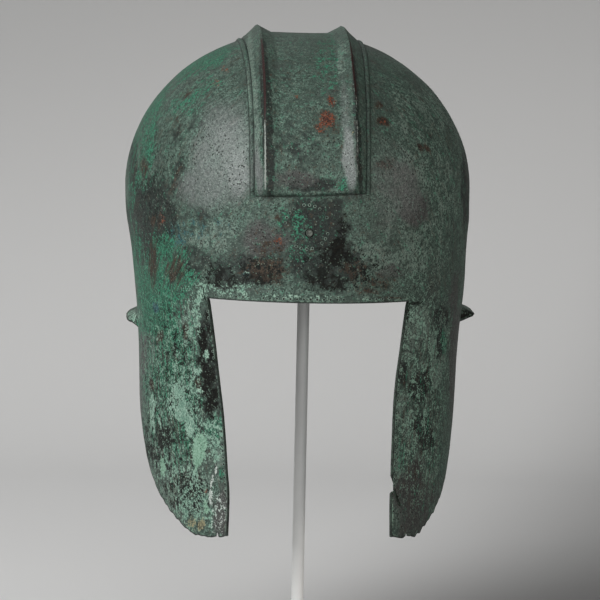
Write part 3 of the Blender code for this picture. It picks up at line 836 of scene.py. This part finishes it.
    Stain("scar", 240, 274, 50, 14, 0, 0.28),
    Stain("scar", 345, 268, 44, 22, 0, 0.26),
    Stain("scar", 160, 190, 26, 60, 0, 0.10),
    Stain("emerald", 165, 262, 24, 30, 0, 0.50),
    # Painted shade: the right neck guard tip, turned from the lamps, is painted black.
    Stain("black", 468, 314, 8, 7, 0, 0.80),
    Stain("black", 330, 262, 30, 22, 20, 0.22),
    Stain("dark", 326, 262, 44, 30, 10, 0.66),
    Stain("dark", 200, 440, 4, 50, 0, 0.20),
    Stain("black", 309, 233.4, 3.6, 3.6, 0, 0.90),
    Stain("black", 396.6, 497, 1.0, 9, -20, 0.90),
    Stain("black", 415, 303.3, 8, 0.8, 0, 0.90),
    # The right cheek.
    Stain("black", 408, 312, 1.6, 12, 8, 0.90),
    Stain("scab", 420, 390, 28, 110, 2, 0.14),
    Stain("scar", 420, 400, 28, 110, 2, 0.06),
    Stain("brown", 420, 420, 26, 100, 2, 0.28),
    Stain("emerald", 424, 420, 26, 100, 2, 0.18),
    Stain("pale", 424, 350, 24, 44, 0, 0.50),
    Stain("pale", 419, 326, 13, 24, 0, 0.80),
    Stain("crust", 417, 324, 11, 20, 0, 0.30),
    Stain("pale", 417, 344, 5, 7, 0, 0.95),
    Stain("pale", 432, 348, 3, 12, 0, 0.95),
    Stain("dark", 441, 319, 9, 14, 0, 0.70),
    Stain("dark", 440, 345, 4, 14, 0, 0.80),
    Stain("emerald", 444, 343, 3, 11, 0, 0.60),
    Stain("grey", 454, 360, 5, 74, 0, 0.80),
    Stain("dark", 420, 386, 10, 18, 20, 1.00),
    Stain("dark", 402, 372, 7, 12, 0, 0.90),
    Stain("pale", 437, 375, 7, 20, 0, 0.85),
    Stain("pale", 425, 397, 5, 8, 0, 0.70),
    Stain("pale", 404, 412, 10, 18, 0, 0.75),
    Stain("emerald", 400, 455, 8, 16, 0, 0.35),
    Stain("dark", 424, 432, 10, 22, -14, 0.90),
    Stain("grey", 410, 500, 24, 40, 0, 0.75),
    Stain("pale", 412, 480, 28, 54, 0, 0.54),
    Stain("crust", 392, 386, 1.8, 24, 4, 0.80),
    Stain("crust", 391, 512, 1.4, 18, 0, 0.80),
    Stain("black", 392.5, 450, 1.5, 26, 0, 0.50),
)

# The noises in the patina, by the size of their largest patches in mm. streak follows the
# sheet from the crest down to the hem, drawn out that way.
Grain = namedtuple("Grain", "name size detail roughness")
GRAINS = (
    Grain("broad", 28.0, 4.0, 0.55),
    Grain("middle", 8.0, 8.0, 0.70),
    Grain("fine", 2.0, 4.0, 0.60),
    Grain("grit", 0.9, 2.0, 0.50),
    Grain("clots", 4.5, 5.0, 0.65),
    Grain("streak", 4.5, 8.0, 0.72),
)
STREAK_SHORTENING = 0.28

# What covers what, from the bottom up. light and shade are the two tones that speckle it, grain
# is the noise that breaks up its edge, spread and crumble how far it and the finest grit do
# (a spread below zero puts it in that noise's hollows), soft how wide the edge is, and stray
# how strongly it lies where the chart has none.
Layer = namedtuple(
    "Layer", "kind light shade roughness metal shine grain spread crumble soft stray"
)
LAYERS = (
    Layer("pale", "#72867a", "#4c5e54", 0.60, 0.0, 0.5, "middle", 2.2, 0.5, 0.20, 0.06),
    Layer("dark", "#26332d", "#171f1b", 0.52, 0.0, 0.4, "middle", -2.2, 0.5, 0.20, 0.18),
    Layer("grey", "#575956", "#40423f", 0.44, 0.4, 0.5, "broad", 2.0, 0.4, 0.30, 0.10),
    Layer("emerald", "#2f7f61", "#143c2d", 0.55, 0.0, 0.5, "streak", 2.6, 1.0, 0.20, 0.09),
    Layer("teal", "#2b6465", "#18393e", 0.55, 0.0, 0.5, "clots", -2.4, 0.8, 0.22, 0.00),
    Layer("brown", "#43382c", "#241f19", 0.58, 0.0, 0.3, "streak", -2.4, 0.8, 0.20, 0.14),
    Layer("black", "#1c1c18", "#0a0a09", 0.65, 0.0, 0.12, "clots", -2.4, 1.1, 0.22, 0.05),
    Layer("scar", "#232b26", "#101411", 0.65, 0.0, 0.2, "clots", -3.4, -1.4, 0.16, 0.00),
    # Greyer, more metallic patina. Its paler colour is a painted highlight, the key lamp's reflection
    # painted in.
    Layer("metal_and_painted_sheen", "#7c827f", "#6b716e", 0.47, 0.5, 0.5, "broad", 0.8, 0.3, 0.42, 0.00),
    Layer("crust", "#9cb9a7", "#628474", 0.80, 0.0, 0.4, "clots", 2.8, 0.9, 0.18, 0.00),
    Layer("scab", "#83a391", "#4f7363", 0.80, 0.0, 0.4, "clots", 3.4, 1.8, 0.20, 0.00),
    Layer("mint", "#8aac97", "#6a8f79", 0.85, 0.0, 0.4, "clots", 1.6, 0.8, 0.18, 0.00),
    Layer("rust", "#74412b", "#35201a", 0.65, 0.1, 0.4, "clots", -2.4, 1.2, 0.18, 0.00),
    Layer("ochre", "#8f8b6c", "#565341", 0.70, 0.0, 0.4, "middle", 2.0, 1.0, 0.22, 0.00),
    Layer("white", "#c3cac4", "#96a199", 0.80, 0.0, 0.4, "clots", 1.0, 0.8, 0.18, 0.00),
)

# How far the edges of the stains wander from the chart's ovals, in px, over what length, and
# the half width from which they wander in full. The seed keeps them the same each run.
WANDERS = ((7.0, 22.0), (3.0, 8.0))
WANDERS_IN_FULL = 14.0
WANDER_SEED = 3

# The drifts of stain on the sides and the back, and their strengths.
DRIFTS = {"pale": 0.40, "dark": 0.50, "emerald": 0.46, "brown": 0.38, "grey": 0.34,
          "black": 0.20, "crust": 0.18}
DRIFT_SIZE = 34.0 * MM


# Distances from the rims, in mm, that the shader can tell apart.
RIM_ZONE = 8.0


def wanderings(x, y):
    """How far each place is pushed to and fro, so that an oval read there has a ragged edge."""
    noise.seed_set(WANDER_SEED)
    moves = np.zeros((2, len(x)))
    for reach, length in WANDERS:
        shifts = [noise.noise_vector((a / length, b / length, reach)) for a, b in zip(x, y)]
        moves += reach * np.array(shifts)[:, :2].T
    return moves


def chart_values(kind, x, y, moves, facing):
    """How strongly one kind of stain lies on each place."""
    value = np.zeros(len(x))
    for stain in STAINS:
        if stain.kind != kind:
            continue
        share = min(1.0, min(stain.half_width, stain.half_height) / WANDERS_IN_FULL)
        turn = math.radians(stain.turn)
        dx = x + share * moves[0] - stain.x
        dy = y + share * moves[1] - stain.y
        u = (dx * math.cos(turn) + dy * math.sin(turn)) / stain.half_width
        v = (dy * math.cos(turn) - dx * math.sin(turn)) / stain.half_height
        value = np.maximum(value, stain.strength * ease(1.5 - np.hypot(u, v)))
    return value * facing


def drift_values(kind, places):
    """How strongly one kind lies in broad drifts, as it does where the photograph doesn't reach."""
    if kind not in DRIFTS:
        return np.zeros(len(places))
    apart = Vector((0.0, 0.0, 7.0 * list(DRIFTS).index(kind)))
    cloud = np.array([noise.noise(Vector(p) / DRIFT_SIZE + apart) for p in places])
    return DRIFTS[kind] * ease(2 * cloud + 0.4)


def nearest_distance(points, marks):
    tree = KDTree(len(marks))
    for i, p in enumerate(marks):
        tree.insert(p, i)
    tree.balance()
    return np.array([tree.find(p)[2] for p in points])


def add_attribute(mesh, name, values):
    layer = mesh.attributes.new(name, "FLOAT", "POINT")
    layer.data.foreach_set("value", np.asarray(values, dtype=np.float32))


def mark_surface(mesh, sheet_points, flow, rim, crest, grooves):
    """Writes the stains and the painted highlights and shade, the flow, and the distances for wear and
    painted shade on every place of the finished helmet.
    """
    count = len(mesh.vertices)
    places = np.zeros(count * 3)
    mesh.vertices.foreach_get("co", places)
    places = places.reshape(-1, 3)
    normals = np.zeros(count * 3)
    mesh.vertices.foreach_get("normal", normals)
    normals = normals.reshape(-1, 3)
    x, y = to_image(places)
    facing = ease((normals @ np.array(BACKWARD) + 0.05) / 0.2)
    moves = wanderings(x, y)
    for layer in LAYERS:
        value = chart_values(layer.kind, x, y, moves, facing)
        value += drift_values(layer.kind, places) * (1 - facing)
        add_attribute(mesh, "stain_" + layer.kind, value)
    tree = KDTree(len(sheet_points))
    for i, p in enumerate(sheet_points):
        tree.insert(p, i)
    tree.balance()
    nearest = [tree.find(p)[1] for p in places]
    add_attribute(mesh, "flow_across", flow[nearest, 0])
    add_attribute(mesh, "flow_down", flow[nearest, 1])
    crest_distance = nearest_distance(places, crest)
    for kind, reach in (("crest_rust", 1.8 * MM), ("crest_painted_highlight", 1.2 * MM)):
        line = 1 - ease(crest_distance / reach)
        add_attribute(mesh, kind, chart_values(kind, x, y, moves, facing) * line)
    for name, marks in (("rim_distance", rim), ("groove_distance", grooves)):
        distance = nearest_distance(places, [sheet_points[i] for i in marks])
        add_attribute(mesh, name, np.minimum(distance / MM, RIM_ZONE))


def linear(code):
    """A colour written as a web code, as the shader takes it."""
    values = [int(code[i:i + 2], 16) / 255 for i in (1, 3, 5)]
    return [v / 12.92 if v <= 0.04045 else ((v + 0.055) / 1.055) ** 2.4 for v in values] + [1.0]


def node(tree, kind, inputs=(), output=0, **settings):
    """Adds a shader node with its settings, sets or links its inputs, and gives one output."""
    made = tree.nodes.new("ShaderNode" + kind)
    for name, value in settings.items():
        setattr(made, name, value)
    for key, value in dict(inputs).items():
        if isinstance(value, bpy.types.NodeSocket):
            tree.links.new(value, made.inputs[key])
        else:
            made.inputs[key].default_value = value
    return None if output is None else made.outputs[output]


def patina_material():
    """Old green bronze: what gives it away is the speckle of light crust and dark pits over layered
    greens, with greyer, more metallic patina where the light slides over it, painted paler there as a
    painted highlight. Grooves and the rims' very edges get painted shade."""
    made = bpy.data.materials.new("patinated_bronze")
    made.use_nodes = True
    tree = made.node_tree
    tree.nodes.clear()
    spot = node(tree, "TexCoord", output="Object")
    place = node(tree, "VectorMath", {0: spot, 3: 1 / MM}, operation="SCALE")
    across = node(tree, "Attribute", output="Fac", attribute_name="flow_across")
    down = node(tree, "Attribute", output="Fac", attribute_name="flow_down")
    across = node(tree, "Math", {0: across, 1: 1 / MM}, operation="MULTIPLY")
    down = node(tree, "Math", {0: down, 1: STREAK_SHORTENING / MM}, operation="MULTIPLY")
    flow = node(tree, "CombineXYZ", {0: across, 1: down})
    grains = {}
    for grain in GRAINS:
        vector = flow if grain.name == "streak" else place
        clouds = node(
            tree, "TexNoise",
            {"Vector": vector, "Scale": 1 / grain.size, "Detail": grain.detail,
             "Roughness": grain.roughness},
        )
        grains[grain.name] = node(tree, "Math", {0: clouds, 1: 0.5}, operation="SUBTRACT")

    # The speckle that every layer shares: a fine grit carried by a coarser one.
    speckle = node(tree, "Math", {0: grains["grit"], 1: 1.3, 2: grains["fine"]}, operation="MULTIPLY_ADD")
    crumble = speckle
    speckle = node(tree, "MapRange", {0: speckle, 1: -0.16, 2: 0.20}, interpolation_type="SMOOTHSTEP")
    ground = node(
        tree, "Mix", {0: speckle, 6: linear("#2e4037"), 7: linear("#617a6d")}, 2, data_type="RGBA"
    )
    cloud = node(
        tree, "MapRange", {0: grains["broad"], 1: -0.10, 2: 0.12, 4: 0.6},
        interpolation_type="SMOOTHSTEP",
    )
    colour = node(tree, "Mix", {0: cloud, 6: ground, 7: linear("#3a4b42")}, 2, data_type="RGBA")
    roughness = node(tree, "MapRange", {0: grains["middle"], 1: -0.15, 2: 0.15, 3: 0.42, 4: 0.60})
    metal = 0.12
    shine = 0.5
    for layer in LAYERS:
        charted = node(tree, "Attribute", output="Fac", attribute_name="stain_" + layer.kind)
        charted = node(tree, "Math", {0: charted, 1: layer.stray}, operation="MAXIMUM")
        share = node(
            tree, "Math", {0: grains[layer.grain], 1: layer.spread, 2: charted},
            operation="MULTIPLY_ADD",
        )
        share = node(
            tree, "Math", {0: crumble, 1: layer.crumble, 2: share}, operation="MULTIPLY_ADD"
        )
        share = node(
            tree, "MapRange", {0: share, 1: 0.46 - layer.soft, 2: 0.46 + layer.soft},
            interpolation_type="SMOOTHSTEP",
        )
        within = node(tree, "MapRange", {0: charted, 1: 0.0, 2: 0.15})
        share = node(tree, "Math", {0: share, 1: within}, operation="MULTIPLY")
        tint = node(
            tree, "Mix", {0: speckle, 6: linear(layer.shade), 7: linear(layer.light)}, 2,
            data_type="RGBA",
        )
        colour = node(tree, "Mix", {0: share, 6: colour, 7: tint}, 2, data_type="RGBA")
        roughness = node(tree, "Mix", {0: share, 2: roughness, 3: layer.roughness})
        metal = node(tree, "Mix", {0: share, 2: metal, 3: layer.metal})
        shine = node(tree, "Mix", {0: share, 2: shine, 3: layer.shine})

    # Pits and specks: small round cells whose size wanders, so that they come and go.
    shifted = node(tree, "VectorMath", {0: place, 1: (7.3, 2.1, 5.9)}, operation="ADD")
    marks = {}
    for name, vector, cell, wander in (
        ("pits", place, 2.0, grains["middle"]), ("specks", shifted, 1.8, grains["fine"]),
    ):
        cells = node(tree, "TexVoronoi", {"Vector": vector, "Scale": 1 / cell})
        reach = node(tree, "MapRange", {0: wander, 1: -0.20, 2: 0.20, 3: 0.03, 4: 0.33})
        inside = node(tree, "Math", {0: reach, 1: cells}, operation="SUBTRACT")
        marks[name] = node(
            tree, "MapRange", {0: inside, 1: -0.05, 2: 0.05}, interpolation_type="SMOOTHSTEP"
        )
    pale = node(tree, "Math", {0: marks["specks"], 1: 0.35}, operation="MULTIPLY")
    colour = node(tree, "Mix", {0: pale, 6: colour, 7: linear("#8fa796")}, 2, data_type="RGBA")
    deep = node(tree, "Math", {0: marks["pits"], 1: 0.8}, operation="MULTIPLY")
    colour = node(tree, "Mix", {0: deep, 6: colour, 7: linear("#10150f")}, 2, data_type="RGBA")

    # Along the ridges' crests the metal is worn to a red brown line; lower down the crests are painted
    # pale, a painted highlight where they catch the light.
    for kind, tone in (("crest_rust", "#2b110e"), ("crest_painted_highlight", "#8d948d")):
        line = node(tree, "Attribute", output="Fac", attribute_name=kind)
        line = node(tree, "Math", {0: grains["fine"], 1: 1.4, 2: line}, operation="MULTIPLY_ADD")
        line = node(
            tree, "MapRange", {0: line, 1: 0.40, 2: 0.62}, interpolation_type="SMOOTHSTEP"
        )
        colour = node(tree, "Mix", {0: line, 6: colour, 7: linear(tone)}, 2, data_type="RGBA")

    # Painted shade: the grooves beside the ridges and the foot of the crest holder's front end are
    # darkened, as shade in them would.
    groove = node(tree, "Attribute", output="Fac", attribute_name="groove_distance")
    groove_shade = node(tree, "MapRange", {0: groove, 1: 0.15, 2: 0.80, 3: 0.75, 4: 0.0})
    colour = node(tree, "Mix", {0: groove_shade, 6: colour, 7: linear("#111915")}, 2, data_type="RGBA")

    # A rim is rubbed paler in broken patches. Its very edge is painted dark, painted shade for the wall's
    # thickness in shadow.
    edge = node(tree, "Attribute", output="Fac", attribute_name="rim_distance")
    wear = node(tree, "MapRange", {0: edge, 1: 0.8, 2: 4.0, 3: 1.0, 4: 0.0})
    wear = node(tree, "Math", {0: grains["fine"], 1: 3.0, 2: wear}, operation="MULTIPLY_ADD")
    wear = node(
        tree, "MapRange", {0: wear, 1: 0.85, 2: 1.20, 4: 0.45}, interpolation_type="SMOOTHSTEP"
    )
    colour = node(tree, "Mix", {0: wear, 6: colour, 7: linear("#7c9585")}, 2, data_type="RGBA")
    # Painted shade along the rim's very edge.
    lip = node(tree, "MapRange", {0: edge, 1: 0.5, 2: 1.0, 3: 0.85, 4: 0.0})
    colour = node(tree, "Mix", {0: lip, 6: colour, 7: linear("#131714")}, 2, data_type="RGBA")

    height = node(tree, "Math", {0: grains["fine"], 1: 0.45, 2: 0.0}, operation="MULTIPLY_ADD")
    for relief, depth in (
        (grains["grit"], 0.20), (marks["pits"], -0.42), (marks["specks"], 0.12),
        (grains["middle"], 0.70),
    ):
        height = node(tree, "Math", {0: relief, 1: depth, 2: height}, operation="MULTIPLY_ADD")
    bump = node(tree, "Bump", {"Strength": 0.8, "Distance": MM, "Height": height})
    surface = node(
        tree, "BsdfPrincipled",
        {"Base Color": colour, "Roughness": roughness, "Metallic": metal,
         "Specular IOR Level": shine, "Normal": bump},
    )
    node(tree, "OutputMaterial", {"Surface": surface}, None)
    return made


def plain_material(name, dark, light, size, roughness, metal, bump_height):
    """A surface whose colour wavers gently between two tones."""
    made = bpy.data.materials.new(name)
    made.use_nodes = True
    tree = made.node_tree
    tree.nodes.clear()
    spot = node(tree, "TexCoord", output="Object")
    cloud = node(
        tree, "TexNoise", {"Vector": spot, "Scale": 1 / size, "Detail": 5.0, "Roughness": 0.6}
    )
    share = node(tree, "MapRange", {0: cloud, 1: 0.35, 2: 0.65}, interpolation_type="SMOOTHSTEP")
    colour = node(tree, "Mix", {0: share, 6: linear(dark), 7: linear(light)}, 2, data_type="RGBA")
    bump = node(tree, "Bump", {"Strength": 0.4, "Distance": bump_height, "Height": cloud})
    surface = node(
        tree, "BsdfPrincipled",
        {"Base Color": colour, "Roughness": roughness, "Metallic": metal, "Normal": bump},
    )
    node(tree, "OutputMaterial", {"Surface": surface}, None)
    return made


def build_helmet():
    points, faces, flow, rim, crest, grooves = fine_sheet()
    mesh, places = weathered(points, faces)
    world = places + np.array(HELMET_PLACE)
    mesh.vertices.foreach_set("co", world.reshape(-1))
    mesh.update()
    helmet = new_object("helmet", mesh)
    helmet.data.materials.append(patina_material())
    # The inside, which was never rubbed clean: a duller, darker green brown.
    helmet.data.materials.append(
        plain_material("inner_patina", "#232a24", "#3d4a40", 5.0 * MM, 0.62, 0.1, 0.4 * MM)
    )
    # The cut edge of the sheet, dark with a little green.
    edge = plain_material("edge_patina", "#141814", "#3d4d42", 1.5 * MM, 0.55, 0.2, 0.3 * MM)
    helmet.data.materials.append(edge)
    wall = helmet.modifiers.new("wall", "SOLIDIFY")
    wall.thickness = WALL
    wall.offset = -1.0
    wall.use_even_offset = True
    wall.use_quality_normals = True
    wall.material_offset = 1
    wall.material_offset_rim = 2
    tree = BVHTree.FromPolygons([tuple(p) for p in world], faces)
    solid = cut_all(helmet, tree, edge)
    solid.shade_smooth()
    solid.set_sharp_from_angle(angle=math.radians(42))
    mark_surface(solid, world, flow, rim, [world[i] for i in crest], grooves)
    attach(helmet, "root")
    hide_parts("helmet_shell")
    return helmet, tree


# The circlets punched round the crest hole and along the rims.
CIRCLET_RADIUS = 0.75 * MM
CIRCLET_LIP = 0.14 * MM
RING_CENTRE = (306.8, 227.0)
RING_RADIUS = 22.1
RING_COUNT = 25
RIM_SPACING = 3.7 * MM
RIM_INSET = 2.2 * MM


def circlet_places(tree):
    """Where the circlets are: a ring round the plug, then rows inside the rims."""
    spots = []
    for k in range(RING_COUNT):
        angle = 2 * math.pi * (k + 0.5) / RING_COUNT
        line = sight_line(
            RING_CENTRE[0] + RING_RADIUS * math.sin(angle),
            RING_CENTRE[1] - RING_RADIUS * math.cos(angle),
        )
        hit, normal, _, _ = tree.ray_cast(EYE, line)
        spots.append((hit, normal))
    for side in (-1, 1):
        height = -RIM_SPACING
        while height > -0.90 * CHEEK_LENGTH:
            level = np.array([height])
            angle = side * (opening_angle(level, side) + RIM_INSET / BOWL_FRONT)
            x, y = round_the_axis(angle, level)
            place = HELMET_PLACE + Vector((x[0], y[0], height))
            hit, normal, _, _ = tree.find_nearest(place)
            spots.append((hit, normal))
            height -= RIM_SPACING
    aside = -OPENING_HALF_WIDTH + RIM_SPACING
    while aside < OPENING_HALF_WIDTH - RIM_SPACING / 2:
        start = HELMET_PLACE + Vector((aside, -2 * BOWL_FRONT, RIM_INSET))
        hit, normal, _, _ = tree.ray_cast(start, Vector((0.0, 1.0, 0.0)))
        spots.append((hit, normal))
        aside += RIM_SPACING
    return [(hit, normal) for hit, normal in spots if hit is not None]


def build_circlets(tree):
    """Small raised rims round sunk centres, as a punch leaves them, worn here and there."""
    around, tube = 14, 6
    points, faces, dark = [], [], []
    for hit, normal in circlet_places(tree):
        wear = noise.noise(hit / (9.0 * MM))
        if wear < -0.10:
            continue
        turn = normal.to_track_quat("Z", "Y").to_matrix()
        first = len(points)
        lip = CIRCLET_LIP * (1.0 + 0.5 * wear)
        for i in range(around):
            a = 2 * math.pi * i / around
            for j in range(tube):
                b = 2 * math.pi * j / tube
                radius = CIRCLET_RADIUS + lip * math.cos(b)
                local = Vector((radius * math.cos(a), radius * math.sin(a), lip * math.sin(b)))
                points.append(hit + turn @ local)
        for i in range(around):
            for j in range(tube):
                k, m = (i + 1) % around, (j + 1) % tube
                faces.append((
                    first + i * tube + j, first + k * tube + j, first + k * tube + m,
                    first + i * tube + m,
                ))
                dark.append(False)
        dish = len(points)
        for i in range(around):
            a = 2 * math.pi * i / around
            local = Vector((math.cos(a), math.sin(a), 0.0)) * 0.9 * CIRCLET_RADIUS
            local.z = 0.06 * MM
            points.append(hit + turn @ local)
        points.append(hit + turn @ Vector((0.0, 0.0, 0.02 * MM)))
        for i in range(around):
            faces.append((dish + i, dish + (i + 1) % around, dish + around))
            dark.append(True)
    mesh = bpy.data.meshes.new("punched_circlets")
    mesh.from_pydata([tuple(p) for p in points], [], faces)
    # The lips catch the light; the sunk centres hold dirt.
    mesh.materials.append(
        plain_material("circlet_lip", "#4b6257", "#8fa596", 2.0 * MM, 0.55, 0.2, 0.1 * MM)
    )
    mesh.materials.append(
        plain_material("circlet_dirt", "#121613", "#252c27", 2.0 * MM, 0.8, 0.0, 0.1 * MM)
    )
    mesh.polygons.foreach_set("material_index", [int(d) for d in dark])
    mesh.shade_smooth()
    circlets = new_object("punched_circlets", mesh)
    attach(circlets, "root")


def turned(name, profile, sides):
    """A solid of revolution about Z, its profile running from axis to axis."""
    points, faces = [], []
    rings = []
    for radius, height in profile:
        if radius == 0:
            rings.append([len(points)])
            points.append((0.0, 0.0, height))
            continue
        ring = []
        for i in range(sides):
            a = 2 * math.pi * i / sides
            ring.append(len(points))
            points.append((radius * math.cos(a), radius * math.sin(a), height))
        rings.append(ring)
    for upper, lower in zip(rings, rings[1:]):
        for i in range(sides):
            k = (i + 1) % sides
            corners = [upper[i % len(upper)], lower[i % len(lower)], lower[k % len(lower)],
                       upper[k % len(upper)]]
            faces.append(tuple(dict.fromkeys(corners)))
    mesh = bpy.data.meshes.new(name)
    mesh.from_pydata(points, [], faces)
    mesh.shade_smooth()
    mesh.set_sharp_from_angle(angle=math.radians(35))
    return new_object(name, mesh)


def build_rivet():
    """A flat grey-brown plug in its hole, with the raised lip that the hammer left."""
    inside = -(WALL + GAP + 0.3 * MM)
    head = inside - RIVET_HEAD_HEIGHT
    profile = [
        (0, RIVET_STANDS_OUT + 0.05 * MM),
        (0.45 * RIVET_RADIUS, RIVET_STANDS_OUT + 0.03 * MM),
        (0.62 * RIVET_RADIUS, RIVET_STANDS_OUT),
        (0.70 * RIVET_RADIUS, RIVET_STANDS_OUT + 0.28 * MM),
        (0.78 * RIVET_RADIUS, RIVET_STANDS_OUT + 0.30 * MM),
        (0.85 * RIVET_RADIUS, RIVET_STANDS_OUT),
        (0.87 * RIVET_RADIUS, -0.8 * MM),
        (RIVET_RADIUS, -0.9 * MM),
        (RIVET_RADIUS, inside),
        (RIVET_HEAD_RADIUS, inside),
        (RIVET_HEAD_RADIUS, head + 0.3 * MM),
        (RIVET_HEAD_RADIUS - 0.3 * MM, head),
        (0, head),
    ]
    plug = turned("crest_plug", profile, 64)
    # The plug's bronze is greyer and less green than the sheet's.
    plug.data.materials.append(
        plain_material("bronze_plug", "#454b45", "#70766e", 1.2 * MM, 0.45, 0.4, 0.2 * MM)
    )
    plug.matrix_world = (
        Matrix.Translation(HELMET_PLACE + forehead_place()) @ Matrix.Rotation(math.pi / 2, 4, "X")
    )
    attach(plug, "root")
    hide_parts("crest_rivet")


def build_stand():
    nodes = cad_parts
    # Satin steel: a long soft highlight down the rod, from fine lengthwise brushing.
    steel = plain_material("satin_steel", "#eeeeec", "#f3f3f1", 30.0 * MM, 0.4, 0.0, 0.01 * MM)
    # Felt: soft and without shine, so that the rest doesn't mark the bronze.
    felt = plain_material("grey_felt", "#2c2c2d", "#3b3b3c", 1.0 * MM, 0.95, 0.0, 0.3 * MM)
    low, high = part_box("stand_post")
    rod = turned(
        "rod",
        [(0, high.z), (3.5 * MM, high.z), (3.5 * MM, low.z), (0, low.z)],
        96,
    )
    rod.data.materials.append(steel)
    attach(rod, "root")
    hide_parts("stand_post")
    for name, finish, kind in (("stand_base", steel, "satin_steel"), ("stand_rest", felt, "grey_felt")):
        nodes[name].data.materials.clear()
        nodes[name].data.materials.append(finish)


def paper_material():
    """Matt grey paper, painted darker towards its top and towards the right, most in the floor's near
    right corner: painted light falloff and a painted shadow. Its back is left clear, so that the helmet
    can be looked at from behind."""
    made = bpy.data.materials.new("grey_paper")
    made.use_nodes = True
    tree = made.node_tree
    tree.nodes.clear()
    spot = node(tree, "TexCoord", output="Object")
    x = node(tree, "SeparateXYZ", {0: spot}, "X")
    y = node(tree, "SeparateXYZ", {0: spot}, "Y")
    z = node(tree, "SeparateXYZ", {0: spot}, "Z")
    # Painted light: darker towards the top, more so at the left, darker towards the right, and a painted
    # shadow in the floor's near right corner.
    z = node(tree, "Math", {0: x, 1: -0.35, 2: z}, operation="MULTIPLY_ADD")
    top = node(
        tree, "MapRange", {0: z, 1: -0.15, 2: 0.60, 3: 1.0, 4: 0.43},
        interpolation_type="SMOOTHSTEP",
    )
    nearer = node(tree, "Math", {0: y, 1: -0.35, 2: x}, operation="MULTIPLY_ADD")
    corner = node(
        tree, "MapRange", {0: nearer, 1: -0.14, 2: 0.16, 3: 1.0, 4: 0.36},
        interpolation_type="SMOOTHSTEP",
    )
    side = node(tree, "MapRange", {0: x, 1: -0.3, 2: 0.4, 3: 1.0, 4: 0.80})
    share = node(tree, "Math", {0: top, 1: corner}, operation="MULTIPLY")
    share = node(tree, "Math", {0: share, 1: side}, operation="MULTIPLY")
    colour = node(
        tree, "Mix", {0: share, 6: (0.0, 0.0, 0.0, 1.0), 7: linear("#f0f0ef")}, 2,
        data_type="RGBA",
    )
    front = node(tree, "BsdfPrincipled", {"Base Color": colour, "Roughness": 0.95})
    clear = node(tree, "BsdfTransparent")
    back = node(tree, "NewGeometry", output="Backfacing")
    surface = node(tree, "MixShader", {0: back, 1: front, 2: clear})
    node(tree, "OutputMaterial", {"Surface": surface}, None)
    return made


def build_studio():
    """A seamless grey sweep, a tall softbox at the left and a weak fill at the right."""
    profile = [(-1.6, 0.0)]
    radius, wall = 0.7, 1.5
    for k in range(25):
        a = math.pi / 2 * k / 24
        profile.append((wall - radius + radius * math.sin(a), radius - radius * math.cos(a)))
    profile.append((wall, 2.4))
    points, faces = [], []
    for x in (-2.4, 2.4):
        points.extend((x, y, z) for y, z in profile)
    count = len(profile)
    for i in range(count - 1):
        faces.append((i, i + count, i + count + 1, i + 1))
    mesh = bpy.data.meshes.new("sweep")
    mesh.from_pydata(points, [], faces)
    mesh.shade_smooth()
    mesh.materials.append(paper_material())
    new_object("sweep", mesh)

    aim = HELMET_PLACE + Vector((0.0, 0.0, 0.02))
    for name, turn, rise, distance, width, tall, power, tint in (
        ("key", -52.0, 26.0, 1.7, 0.8, 1.2, 24.0, "#ffffff"),
        ("front", 20.0, 6.0, 2.4, 0.9, 1.2, 12.0, "#ffffff"),
        ("side", 58.0, 12.0, 2.4, 1.2, 1.4, 12.0, "#fff5ee"),
        ("overhead", -20.0, 62.0, 1.9, 1.2, 1.2, 4.0, "#ffffff"),
    ):
        light = bpy.data.lights.new(name, "AREA")
        light.shape = "RECTANGLE"
        light.size, light.size_y = width, tall
        light.energy = power
        light.color = linear(tint)[:3]
        lamp = bpy.data.objects.new(name, light)
        bpy.context.scene.collection.objects.link(lamp)
        a, e = math.radians(turn), math.radians(rise)
        away = Vector((math.sin(a) * math.cos(e), -math.cos(a) * math.cos(e), math.sin(e)))
        lamp.location = aim + away * distance
        lamp.rotation_euler = away.to_track_quat("Z", "Y").to_euler()

    paper_light = bpy.data.lights.new("paper", "AREA")
    paper_light.shape = "RECTANGLE"
    paper_light.size, paper_light.size_y = 1.6, 0.5
    paper_light.energy = 5.6
    lamp = bpy.data.objects.new("paper", paper_light)
    bpy.context.scene.collection.objects.link(lamp)
    lamp.location = (-0.5, 0.35, 1.3)
    lamp.rotation_euler = (math.radians(55.0), 0.0, 0.0)

    world = bpy.data.worlds.new("studio")
    world.use_nodes = True
    ambient = world.node_tree.nodes["Background"]
    ambient.inputs["Color"].default_value = linear("#c9cbcc")
    ambient.inputs["Strength"].default_value = 0.18
    bpy.context.scene.world = world
    bpy.context.scene.view_settings.view_transform = "Standard"


def build_camera():
    data = bpy.data.cameras.new("camera")
    data.sensor_width = SENSOR
    data.lens = FOCAL_PIXELS * SENSOR / IMAGE_SIDE
    data.shift_x = (IMAGE_SIDE / 2 - AIM_PIXEL[0]) / IMAGE_SIDE
    data.shift_y = (AIM_PIXEL[1] - IMAGE_SIDE / 2) / IMAGE_SIDE
    data.clip_end = 20.0
    camera = bpy.data.objects.new("camera", data)
    bpy.context.scene.collection.objects.link(camera)
    turn = Matrix((RIGHT, UP, BACKWARD)).transposed()
    camera.matrix_world = Matrix.Translation(EYE) @ turn.to_4x4()
    bpy.context.scene.camera = camera


helmet, sheet_tree = build_helmet()
build_circlets(sheet_tree)
build_rivet()
build_stand()
build_studio()
build_camera()
